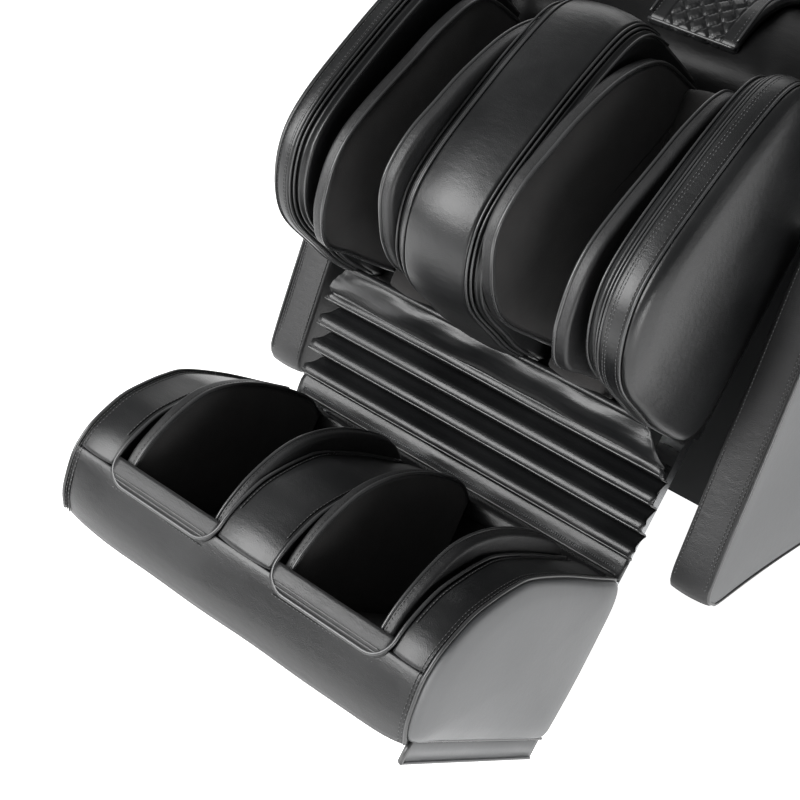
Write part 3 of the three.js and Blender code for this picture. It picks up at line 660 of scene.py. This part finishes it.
def rear_rim():
    """The padded rim behind the foot wells."""
    outline = block(263, 306, 178, 201, 9, 4)
    rows = section(-FOOT_HALF + 5, FOOT_HALF - 5, 5, steps=50)

    def ripple(x, arc, _):
        return 0.7 * np.sin(x / 21 + arc / 15) + 0.5 * np.sin(x / 9 - arc / 11)

    pad("foot_rear_rim", Piece().add(*slab(outline, rows, relief=ripple)), LEG, "foot")
    for y in (268, 274):
        line = np.array([(x, y, 201.5) for x in np.linspace(-FOOT_HALF + 10, FOOT_HALF - 10, 90)])
        foot_thread.add(*stitches(line, np.tile([0, 0, 1], (len(line), 1))), DARK_THREAD)
    for x, y in ((36, 262), (-168, 258)):
        pull = block(x - 2.5, x + 2.5, y - 6, y + 5, 1.5, 1.5)
        foot_thread.add(*slab(pull, section(201.5, 204, 0.4, steps=1, mats=(STEEL, STEEL, STEEL)), "z"))


def foot_skirt():
    """The unit's underside, and the zipped flap below its right-hand panel."""
    x = FOOT_HALF - 2
    drop, front, rear = -25, 10, 305
    n = 40
    rows = [(y, z) for z in (2, drop) for y in np.linspace(front, rear, n)]
    verts = [(px, y, z) for px in (x, x - 4) for y, z in rows]
    faces = []
    for k in (0, 2 * n):
        faces += [(k + i, k + i + 1, k + n + 1 + i, k + n + i) for i in range(n - 1)]
    for k in (0, n):
        faces += [(k + i, k + i + 1, k + 2 * n + 1 + i, k + 2 * n + i) for i in range(n - 1)]
    faces += [(0, n, 3 * n, 2 * n), (n - 1, 2 * n - 1, 4 * n - 1, 3 * n - 1)]
    skirt = Piece().add(verts, faces, PANEL_PAINTED_LIGHT)
    skirt.add(*tube([(x, front, 1), (x, front - 0.5, -12), (x, front, drop)], 2.6), PIPING_PAINTED_HIGHLIGHT)
    skirt.add(*tube([(x, y, drop) for y in np.linspace(front, rear, 30)], 1.6), PANEL_PAINTED_LIGHT)
    skirt.add(*tube([(x + 2, y, 1) for y in np.linspace(front - 2, rear - 1, 30)], 1.8), PIPING_PAINTED_HIGHLIGHT)
    skirt.add(*slab(block(12, 306, -8, 6, 3), section(-FOOT_HALF + 8, FOOT_HALF - 8, 2, steps=2)))
    skirt.make("foot_skirt", LEG, "foot")


WELL_RUN = 46  # points of a well rim's piping that run straight, at each end
WELL_SEAM = 6.5  # from the piping to the seam beside it
foot_piping, foot_thread = Piece(), Piece()
for word, side in SIDES:
    foot_side(word, side)
    x0, x1 = sorted((STRIP_IN * side, FOOT_WALL_HALF * side))
    foot_wall(f"foot_wall_{word}", x0, x1, 1.5)
    foot_boot(word, side)
    points, _ = on_rim(foot_profile, (FOOT_HALF - 2.4) * side, 0.4)
    foot_piping.add(*tube(points, 1.9), PIPING_PAINTED_HIGHLIGHT)
    for x in (FOOT_HALF - 6, FOOT_HALF - 9.5):
        points, normals = on_rim(foot_profile, x * side, 0.6)
        seam(foot_thread, points, normals)
    points, normals = well_rim(side)
    foot_piping.add(*tube(points, 2.2), PIPING_PAINTED_HIGHLIGHT)
    well_lip(side)
    for run, step in ((slice(None, WELL_RUN), WELL_SEAM * side), (slice(-WELL_RUN, None), -WELL_SEAM * side)):
        seam(foot_thread, points[run] + [step, 0, 0] + normals[run] * 0.8, normals[run])
foot_wall("foot_wall_middle", -MIDDLE_HALF, MIDDLE_HALF, 3.0)
toe_panel()
rear_rim()
foot_skirt()
foot_piping.make("foot_piping", LEG, "foot", warp=foot_fit)
foot_thread.make("foot_stitching", LEG, "foot", warp=foot_fit)


# ---- calf unit ----
CALF_HALF = 254
CALF_SEAM = 238  # the welt between each outer wall's strip and its side panel
CALF_WALL = 212  # inner edge of the outer walls
CALF_MIDDLE = 41  # half width of the middle wall
LEFT_PINCH = 12  # how much further in the left end stands
calf_dome = relaxed(curve([(250, 366), (225, 367), (190, 369), (160, 376), (130, 381), (97, 388), (70, 401),
                           (44, 429), (27, 465), (25, 495), (34, 538), (56, 600), (80, 660), (106, 713),
                           (124, 735), (150, 748), (190, 750)]), 10)
calf_back = resample([(190, 750), (290, 744), (305, 735), (313, 700), (313, 400), (307, 372), (290, 366),
                      (250, 366)], 14)
calf_outline = np.vstack([calf_dome, calf_back[1:-1]])
calf_middle = (150, 560)


def calf_fit(verts):
    """The left end of the calf unit sits a little further in than the right."""
    x = verts[:, 0]
    verts[:, 0] = x + LEFT_PINCH * np.clip((-x - 205) / 45, 0, 1)
    return verts


CELL_INSET = 9


def inset_path(path, amount):
    return path - outward(path, False) * amount


def wall_cell(word, x0, x1, name):
    """A puffed air cell beside a wall, a little lower than the wall's face."""
    path = inset_path(calf_dome, CELL_INSET)
    outline = np.vstack([path, resample([path[-1], (290, 735), (290, 380), path[0]], 14)[1:-1]])
    rows = section(*sorted((x0, x1)), 5, crown=2.5, steps=6)
    pad(f"calf_cell_{name}_{word}", Piece().add(*slab(outline, rows, middle=calf_middle)), LEG, "leg")


def fin(name, x0, x1, rim, fabric_low, node):
    """An air fin: mesh on the leg's side, grained leather on the wall's side, piped along the leg's side."""
    root = resample([rim[-1], (262, rim[-1][1] - 10), (262, rim[0][1] + 6), rim[0]], 14)[1:-1]
    outline = np.vstack([rim, root])
    mats = (MESH, FIN_LEATHER, FIN_LEATHER) if fabric_low else (FIN_LEATHER, FIN_LEATHER, MESH)
    rows = section(x0, x1, 5, *((12, 3) if fabric_low else (3, 12)), mats=mats, steps=4)
    pad(name, Piece().add(*slab(outline, rows, middle=(165, 560))), LEG, "leg", [node], "mesh_fabric")
    edge, step = (x0 + 1.5, 5) if fabric_low else (x1 - 1.5, -5)
    points, _ = on_rim(rim, edge, -0.6)
    calf_piping.add(*tube(points, 2.2), PIPING_PAINTED_HIGHLIGHT)
    for shift in (step, step * 2.6):
        points, normals = on_rim(rim, edge + shift, -0.2 if abs(shift) < 8 else -1.6)
        calf_thread.add(*stitches(points, normals), DARK_THREAD)


outer_fin_rim = curve([(262, 392), (200, 388), (140, 386), (92, 384), (62, 408), (47, 436), (38, 470),
                       (40, 505), (56, 548), (84, 606), (108, 655), (140, 700), (176, 716), (262, 716)])
inner_fin_rim = curve([(262, 398), (190, 396), (113, 397), (70, 412), (40, 436), (18, 462), (10, 490),
                       (16, 530), (34, 570), (58, 618), (96, 672), (138, 706), (180, 720), (262, 720)])
fins = (("outer", outer_fin_rim, 158, 175), ("inner", inner_fin_rim, 60, 77))

calf_piping, calf_thread = Piece(), Piece()
for word, side in SIDES:
    x0, x1 = sorted((CALF_WALL * side, CALF_SEAM * side))
    wall = Piece().add(*slab(calf_outline, section(x0, x1, 3, crown=0.6), middle=calf_middle))
    pad(f"calf_wall_{word}", wall, LEG, "leg", warp=calf_fit)
    rows = shoulder(CALF_SEAM, CALF_HALF + 2, 0.17, 9, LEATHER)
    panel = Piece().add(*side_panel(calf_outline, rows, calf_middle, side))
    pad(f"calf_side_{word}", panel, LEG, "leg", warp=calf_fit)
    points, _ = on_rim(calf_dome, CALF_SEAM * side, -0.2)
    calf_piping.add(*tube(points, 1.5), PIPING_PAINTED_HIGHLIGHT)
    for x in (CALF_SEAM - 4, CALF_WALL + 6, CALF_WALL + 9):
        points, normals = on_rim(calf_dome, x * side, 0.5)
        seam(calf_thread, points, normals)
    wall_cell(word, 192 * side, 209 * side, "outer")
    wall_cell(word, 44 * side, 58 * side, "inner")
    for x, drop in ((211, 2), (206, 5), (193, CELL_INSET), (43, 2), (47, 5), (58, CELL_INSET)):
        points, _ = on_rim(inset_path(calf_dome, drop), x * side)
        calf_piping.add(*tube(points, 1.5), PIPING_PAINTED_HIGHLIGHT)
    for which, rim, a, b in fins:
        lo, hi = sorted((a * side, b * side))
        fabric_low = (which == "outer") == (side > 0)
        fin(f"calf_fin_{which}_{word}_pad", lo, hi, rim, fabric_low, f"calf_fin_{which}_{word}")
    rest = rounded([(232, 372, 10), (268, 372, 4), (268, 716, 4), (232, 716, 10)])
    rows = section(*sorted((79 * side, 156 * side)), 6, mats=(MESH, MESH, MESH), crown=5)
    cushion = Piece().add(*slab(rest, rows))
    pad(f"calf_rest_{word}", cushion, LEG, "leg", [f"calf_rest_pad_{word}"], "mesh_fabric")
rows = section(-CALF_MIDDLE, CALF_MIDDLE, 4, crown=4.0)
wall = Piece().add(*slab(calf_outline, rows, middle=calf_middle))
pad("calf_wall_middle", wall, LEG, "leg", ["calf_housing"])
for x in (8 - CALF_MIDDLE, CALF_MIDDLE - 8):
    points, normals = on_rim(calf_dome, x, -0.2)
    seam(calf_thread, points, normals)
back_board = block(272, 308, 368, 722, 8)
pad("calf_back_board", Piece().add(*slab(back_board, section(-240, 240, 4, steps=4))), LEG, "leg")
calf_piping.make("calf_piping", LEG, "leg", warp=calf_fit)
calf_thread.make("calf_stitching", LEG, "leg", warp=calf_fit)


# ---- bellows between the two units ----
BELLOWS = {"half": 246, "tip": 5, "valley": 32, "thick": 1.6, "folded": 0.08}
RIDGES = [(270, 323), (278, 291), (286, 259), (294, 227)]  # each pleat's welt, as (y, z)
FLAP_FOOT = 326  # z above which the flap under the calf unit begins
TAPER = 26  # how much narrower the flap's top is on each side
ZIP = {"y": 297, "low": 203, "teeth": 209, "high": 216, "pitch": 3.0}


def bellows_path():
    """The (y, z) path down the flap and over the four pleats."""
    valley = BELLOWS["valley"]
    profile = [(239, 371), (237, 363), (239, 354), (245, 345), (254, 338)]
    for y, z in RIDGES:
        profile += [(y - 2, z + 10), (y - 3.5, z + 5), (y - 2, z), (y + 4, z - 1.5)]
        if (y, z) != RIDGES[-1]:
            bottom = y + valley
            profile += [(bottom - 7, z - 2.5), (bottom, z - 5), (bottom - 7, z - 8), (y + 17, z - 15)]
    profile += [(297, 217), (298, 206), (300, 197)]
    return resample(profile, 2.5)


def bellows_reach(path):
    """How far the sheet reaches sideways at each point: out at the ridges, in at the valleys and the flap."""
    half = BELLOWS["half"]
    ridge_y, ridge_z = np.array(RIDGES[::-1], float).T
    depth = path[:, 0] - np.interp(path[:, 1], ridge_z, ridge_y)
    pleats = BELLOWS["tip"] * np.exp(-np.abs(depth) / 5) - 2 * np.clip(depth / BELLOWS["valley"], 0, 1)
    flap = -TAPER * np.clip((path[:, 1] - 334) / 32, 0, 1)
    return 1 + np.where(path[:, 1] > 330, flap, pleats) / half


def bellows_wrinkle(x, p):
    flap = np.clip((p[:, 1] - FLAP_FOOT) / 12, 0, 1)
    end = math.exp(-((BELLOWS["half"] - abs(x)) / 26) ** 2)
    soft = 2.6 * np.sin(x / 41 + p[:, 1] / 13) + 1.6 * np.sin(x / 15 - p[:, 1] / 7)
    pleat = 0.3 * np.sin(x / 29 + p[:, 1] / 23) * (1 - flap)
    return flap * (soft * (0.6 + 1.6 * end)) + pleat


def bellows_trim():
    """Welts on the ridges, the zip by the foot's rim, and the flap's rolled edge."""
    half = BELLOWS["half"]
    trim = Piece()
    welt = half + BELLOWS["tip"]
    for y, z in RIDGES:
        line = [(x, y - 3.0, z + 0.3 * math.sin(x / 60 + z)) for x in np.linspace(-welt, welt, 70)]
        trim.add(*tube(line, 1.3, sides=6), PIPING_PAINTED_HIGHLIGHT)
    teeth = np.array([(x, ZIP["y"], ZIP["teeth"]) for x in np.arange(-half + 8, half - 8, ZIP["pitch"])])
    trim.add(*stitches(teeth, np.tile([0, -1, 0.2], (len(teeth), 1)), 1.5, 1.5, 7), PANEL_PAINTED_LIGHT)
    for z in (ZIP["low"], ZIP["high"]):
        line = [(x, ZIP["y"] + 0.5, z) for x in np.linspace(-half + 6, half - 6, 60)]
        trim.add(*tube(line, 1.3, sides=6), PIPING_PAINTED_HIGHLIGHT)
    for side in (-1, 1):
        edge = resample([(side * (half - 30), 237, 364), (side * (half - 7), 262, 333)], 3)
        trim.add(*stitches(edge, np.tile([0, -0.7, 0.3], (len(edge), 1))), THREAD)
    roll = [(x, 236 + 1.5 * math.sin(x / 50), 369) for x in np.linspace(-half + 28, half - 28, 60)]
    return trim.add(*tube(roll, 4.5), LEATHER)


def bellows():
    """A folded sheet: four pleats with a welt on each ridge, and a flap under the calf unit's lower edge."""
    half = BELLOWS["half"]
    path = bellows_path()
    strip = slab_strip(path, -half, half, 90, BELLOWS["thick"], bellows_wrinkle, bellows_reach(path))
    sheet = Piece().add(*strip, LEATHER).make("bellows_pleats", LEG, "leg")
    welts = bellows_trim().make("bellows_trim", LEG, "leg")
    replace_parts(sheet, "bellows")
    for obj in (sheet, welts):
        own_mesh(obj)


bellows()


# ---- side covers ----
SIDE = {"inner": 284, "strip": 335, "outer": 384, "lean": 0.5317, "bottom": 181, "toe": -570, "top": 715,
        "swell": 380}  # the cover swells from strip to outer over this distance behind its front edge


def front_edge(z):
    return SIDE["toe"] + (z - SIDE["bottom"]) * SIDE["lean"]


def swollen(side):
    def warp(verts):
        behind = verts[:, 1] - front_edge(verts[:, 2])
        t = np.clip(behind / SIDE["swell"], 0, 1)
        share = (verts[:, 0] - SIDE["inner"]) / (SIDE["strip"] - SIDE["inner"])
        verts[:, 0] += (SIDE["outer"] - SIDE["strip"] - 4) * t * t * (3 - 2 * t) * np.clip(share, 0, 1)
        verts[:, 0] *= side
        return verts
    return warp


def side_cover(word, side):
    corners = [
        (SIDE["toe"], SIDE["bottom"], 52), (-230, SIDE["bottom"], 60), (-150, 112, 40), (400, 112, 60),
        (446, 330, 120), (390, 560, 110), (160, SIDE["top"] - 6, 120),
        (front_edge(SIDE["top"]), SIDE["top"], 90),
    ]
    outline = rounded(corners, 9)
    # The cover's outer face gets the lighter leather copy: a painted reflection of the floor and the side
    # light.
    rows = section(SIDE["inner"], SIDE["strip"], 4, 0, 4, crown=1.5, mats=(LEATHER, FIN_LEATHER, PANEL_PAINTED_LIGHT))
    verts, faces, mats = slab(outline, rows, middle=(-60, 400), warp=swollen(side))
    pad(f"side_cover_{word}_panel", Piece().add(verts, faces, mats), CHAIR, "base", [f"side_cover_{word}"],
        "shell")
    trim = Piece()
    front = [(-110, 709), (-190, 713), (-250, 706), (-290, 678), (front_edge(620), 620),
             (front_edge(400), 400), (front_edge(240), 240), (-551, 206), (-542, 189), (-519, SIDE["bottom"]),
             (-400, SIDE["bottom"]), (-250, SIDE["bottom"])]
    path = curve(front, 6)[::-1]
    lifted = outward(path, False)
    warp = swollen(side)
    for x in (SIDE["inner"] + 5, SIDE["strip"] - 6, SIDE["strip"] - 9.5):
        flat = np.full(len(path), float(x))
        points = warp(np.column_stack([flat, path + lifted * 0.6]))
        seam(trim, points, np.column_stack([flat * 0, lifted]))
    flat = np.full(len(path), SIDE["strip"] - 1.0)
    trim.add(*tube(warp(np.column_stack([flat, path - lifted * 0.6])), 2.2), PIPING_PAINTED_HIGHLIGHT)
    trim.make(f"side_trim_{word}", CHAIR, "base")


for word, side in SIDES:
    side_cover(word, side)


# ---- seat ----
SEAT = {"half": 278, "front": -198, "rear": 178, "top": 600, "slope": -0.284, "thick": 70}
CREST = {"y": -100, "z": 649, "rear": 540, "radius": 70}
TONGUE = {"half": 62, "front": -168, "rear": 168, "thick": 13, "quilted": 38, "pitch": 25}


def seat_top(y):
    return SEAT["top"] + SEAT["slope"] * (y + 208)


def seat_face(y):
    """Height of the cushion's top: it rises to a crest under the thighs and falls away behind it."""
    front = (SEAT["front"], seat_top(SEAT["front"]))
    return np.interp(y, (front[0], CREST["y"], SEAT["rear"]), (front[1], CREST["z"], CREST["rear"]))


def seat_wrinkles(x, _, p):
    fold = np.sin(x / 33 + p[:, 0] / 21) * np.sin(x / 71 - p[:, 0] / 57)
    crease = np.exp(-((np.sin(x / 55 + p[:, 0] / 90) / 0.22) ** 2))
    crown = 5 * (x / SEAT["half"]) ** 4
    return 1.6 * fold + 2.0 * crease + crown


def seat_cushion():
    # The cushion is covered in the darkened leather copy: painted shade.
    rows = section(-SEAT["half"], SEAT["half"], 14, steps=80, mats=(SHADED_SEAT_LEATHER,) * 3)
    front, rear, low = SEAT["front"], SEAT["rear"], SEAT["thick"]
    outline = rounded([
        (front, seat_top(front) - low, 16), (rear, seat_top(rear) - low, 16), (rear, CREST["rear"], 16),
        (CREST["y"], CREST["z"], CREST["radius"]), (front, seat_top(front), 32),
    ], 6)
    cushion = Piece().add(*slab(outline, rows, relief=seat_wrinkles, middle=(-20, 540)))
    pad("seat_cushion_cover", cushion, CHAIR, "base", ["seat_cushion"])


def quilt(pitch, depth, flat_edge):
    """Relief of a diamond quilt: sewn lines pulled in between puffed diamonds, as far out as flat_edge."""
    def relief(x, arc, p):
        u = (x + arc) / pitch
        v = (x - arc) / pitch
        near = np.minimum(np.abs(u - np.round(u)), np.abs(v - np.round(v)))
        if abs(x) > flat_edge:
            return np.full(len(p), depth * math.exp(-(((abs(x) - flat_edge) / 1.5) ** 2)))
        return depth * np.exp(-((near / 0.09) ** 2))
    return relief


def draped(y, lift):
    return (y, float(seat_face(y)) + lift)


def seat_centre_quilt():
    """The quilted pad draped over the cushion's crest."""
    crest, thick = CREST["y"], TONGUE["thick"]
    outline = rounded([
        (*draped(TONGUE["front"], -1), 2), (*draped(crest, -1), 68), (*draped(TONGUE["rear"], -1), 2),
        (*draped(TONGUE["rear"], thick), 5), (*draped(crest, thick), 64),
        (*draped(TONGUE["front"], thick - 3), 6),
    ], 3)
    rows = section(-TONGUE["half"], TONGUE["half"], 5, steps=90)
    relief = quilt(TONGUE["pitch"], 3.2, TONGUE["quilted"])
    tongue = Piece().add(*slab(outline, rows, relief=relief))
    pad("seat_centre_quilt", tongue, CHAIR, "base", ["seat_centre_pad"])


def seat_piping():
    thick, edge = TONGUE["thick"], TONGUE["half"] - 2
    trim = Piece()
    face_line = relaxed(resample([draped(y, thick + 1) for y in (-165, CREST["y"], 164)], 5), 30)
    for x in (-edge, edge):
        trim.add(*tube(on_rim(face_line, x)[0], 1.8), PIPING_PAINTED_HIGHLIGHT)
        trim.add(*stitches(*on_rim(face_line[::-1], x * 0.9)), THREAD)
    hem = [(x, *draped(TONGUE["front"] - 1, thick - 4)) for x in np.linspace(-edge, edge, 20)]
    trim.add(*tube(hem, 1.8), PIPING_PAINTED_HIGHLIGHT)
    trim.make("seat_piping", CHAIR, "base")


seat_cushion()
seat_centre_quilt()
seat_piping()

# ---- armrests ----
for word, side in SIDES:
    rows = section(*sorted((288 * side, 378 * side)), 14, crown=2)
    armrest = Piece().add(*slab(block(-226, 176, 715.4, 753, 18, 5), rows))
    pad(f"armrest_{word}_cover", armrest, CHAIR, "base", [f"armrest_pad_{word}"])


# ---- back ----
back_wing_rim = curve([(26, 96), (-80, 98), (-112, 130), (-128, 240), (-150, 330), (-200, 420), (-216, 520),
                       (-200, 610), (-150, 660), (-90, 682), (-20, 672), (26, 650)], 8)
WING_FLARE = 58
SHELL = {"mouth": 35, "wall": 60, "floor": 100, "depth": 108, "turn": 48}


def back_pads():
    rows = section(-182, 182, 12, crown=4, steps=150)
    outline = block(-136, -98, -22, 800, 14, 4)
    back = Piece().add(*slab(outline, rows, relief=quilt(60, 4.0, 128)))
    pad("back_pad_quilt", back, BACK, "back", ["back_pad"])
    rows = section(-165, 165, 14, crown=3, steps=90)
    outline = block(-186, -138, 590, 790, 20, 4)
    pillow = Piece().add(*slab(outline, rows, relief=quilt(44, 3.0, 130)))
    pad("head_pillow_cover", pillow, BACK, "head_pillow", ["head_pillow"])


def back_side(word, side):
    """A bolster beside the rollers, and the shoulder wing outside it, which flares out above the waist."""
    rows = section(*sorted((112 * side, 182 * side)), 12, steps=6)
    bolster = Piece().add(*slab(block(-97, 8, 16, 790, 20), rows))
    pad(f"back_bolster_{word}_cover", bolster, BACK, "back", [f"back_bolster_{word}"])
    outline = np.vstack([back_wing_rim, resample([(26, 650), (26, 96)], 14)[1:-1]])

    def flare(verts):
        t = np.clip((verts[:, 2] - 290) / 120, 0, 1)
        verts[:, 0] += WING_FLARE * t * t * (3 - 2 * t)
        verts[:, 0] *= side
        return verts

    rows = section(212, 270, 14, 6, 4, crown=5, steps=8)
    wing = Piece().add(*slab(outline, rows, warp=flare, middle=(-60, 420)))
    pad(f"back_wing_{word}_cover", wing, BACK, "back", [f"back_wing_{word}"])


def back_shell():
    """The shell behind the back: an open tray, from its inner floor round its mouth to its rear face."""
    half = [(0, 838), (150, 838), (196, 815), (228, 745), (262, 690), (318, 640), (332, 590), (332, 430),
            (318, 385), (286, 330), (275, 290), (275, 110), (262, 78), (215, 44), (0, 41)]
    right = relaxed(curve(half, 12), 6)
    outline = np.vstack([right, (right * [-1, 1])[::-1][1:-1]])
    mouth, wall, floor, depth = SHELL["mouth"], SHELL["wall"], SHELL["floor"], SHELL["depth"]
    rows = [(floor, 12, t, PANEL_PAINTED_LIGHT) for t in (0.97, 0.6, 0.3)]
    rows += [(y, 12, 0, PANEL_PAINTED_LIGHT) for y in np.linspace(floor, mouth + 5, 4)]
    rows += [(mouth + 1, 8, 0, PANEL_PAINTED_LIGHT), (mouth, 4, 0, PANEL_PAINTED_LIGHT), (mouth + 5, 1, 0, PANEL_PAINTED_LIGHT), (wall, 0, 0, PANEL_PAINTED_LIGHT)]
    for a in np.radians((25, 45, 62, 77, 90)):
        rows.append((wall + SHELL["turn"] * math.sin(a), 0, 0.13 * (1 - math.cos(a)), PANEL_PAINTED_LIGHT))
    rows += [(depth + 6 * (1 - (1 - t) ** 2), 0, t, PANEL_PAINTED_LIGHT) for t in (0.2, 0.35, 0.5, 0.7, 0.9)]
    shell = Piece().add(*slab(outline, rows, axis="y", middle=(0, 430)))
    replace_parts(shell.make("back_shell_panel", BACK, "back", "shell"), "back_shell")


back_pads()
for word, side in SIDES:
    back_side(word, side)
back_shell()

# ---- carried-over CAD nodes get their materials ----
FINISHES = (
    (STEEL, ("slide_rod_", "slide_tube_", "leg_hinge_bar", "leg_actuator_rod", "back_actuator_rod",
             "roller_rail_")),
    (PAINT, ("base_frame", "seat_frame", "back_frame")),
    (KEY, ("control_dial", "power_key", "program_key")),
    (RUBBER, ("levelling_foot_", "transport_wheel_", "mains_switch", "massage_roller_")),
    (MATTE, ("sole_roller_", "power_box", "front_apron", "control_pod", "leg_actuator_case",
             "back_actuator_case", "roller_carriage")),
)
for finish, starts in FINISHES:
    for name, node in frame["nodes"].items():
        if name.startswith(starts):
            node.data.materials.clear()
            node.data.materials.append(finish)


# ---- stage, lights and camera ----
FLOOR_HALF = 30  # metres
FLOOR_GLOW = 1.05  # emission that makes the paper read as pure white
ROOM_GLOW = 0.13
VIEW = {"azimuth": 41.26, "elevation": 39.54, "roll": 0.18, "lens": 75.43}  # degrees and mm
EYE = (0.9202, -0.7798 + (SHIFT - 950) * MM, 1.5345)


def soft_light(name, size, power, at, to, size_y=None):
    data = bpy.data.lights.new(name, "AREA")
    data.energy = power
    data.size = size
    if size_y:
        data.shape = "RECTANGLE"
        data.size_y = size_y
    obj = bpy.data.objects.new(name, data)
    bpy.context.collection.objects.link(obj)
    obj.location = at
    obj.rotation_euler = (Vector(to) - Vector(at)).to_track_quat("-Z", "Y").to_euler()


def stage():
    """A white paper floor that is lit from below, a dim room and three softboxes."""
    mesh = bpy.data.meshes.new("floor")
    s = FLOOR_HALF
    mesh.from_pydata([(-s, -s, 0), (s, -s, 0), (s, s, 0), (-s, s, 0)], [], [(0, 1, 2, 3)])
    floor = bpy.data.objects.new("floor", mesh)
    floor.location.z = -0.0005
    white = (1, 1, 1, 1)
    paper = material("floor_paper", (0.9, 0.9, 0.9), 0.9, Emission_Color=white, Emission_Strength=FLOOR_GLOW)
    mesh.materials.append(paper)
    bpy.context.collection.objects.link(floor)
    room = bpy.data.worlds.new("studio")
    room.use_nodes = True
    room.node_tree.nodes["Background"].inputs["Color"].default_value = white
    room.node_tree.nodes["Background"].inputs["Strength"].default_value = ROOM_GLOW
    scene = bpy.context.scene
    scene.world = room
    scene.view_settings.view_transform = "Standard"
    soft_light("key_light", 2.6, 205, (-1.4, -2.9, 2.5), (0, -0.5, 0.5))
    soft_light("side_light", 2.0, 44, (3.0, -1.9, 0.45), (0, -0.7, 0.2), 0.6)
    soft_light("back_light", 2.2, 22, (-1.8, 2.2, 2.2), (0, 0.2, 0.6))


def camera():
    azimuth, elevation, roll = (math.radians(VIEW[k]) for k in ("azimuth", "elevation", "roll"))
    right = Vector((math.cos(azimuth), math.sin(azimuth), 0))
    back = Vector((math.sin(azimuth) * math.cos(elevation), -math.cos(azimuth) * math.cos(elevation),
                   math.sin(elevation)))
    up = back.cross(right)
    x = math.cos(roll) * right + math.sin(roll) * up
    y = -math.sin(roll) * right + math.cos(roll) * up
    turn = Matrix((x, y, back)).transposed().to_4x4()
    data = bpy.data.cameras.new("camera")
    data.sensor_width = 36
    data.lens = VIEW["lens"]
    data.clip_end = 100
    obj = bpy.data.objects.new("camera", data)
    bpy.context.collection.objects.link(obj)
    obj.matrix_world = Matrix.Translation(EYE) @ turn
    bpy.context.scene.camera = obj


stage()
camera()
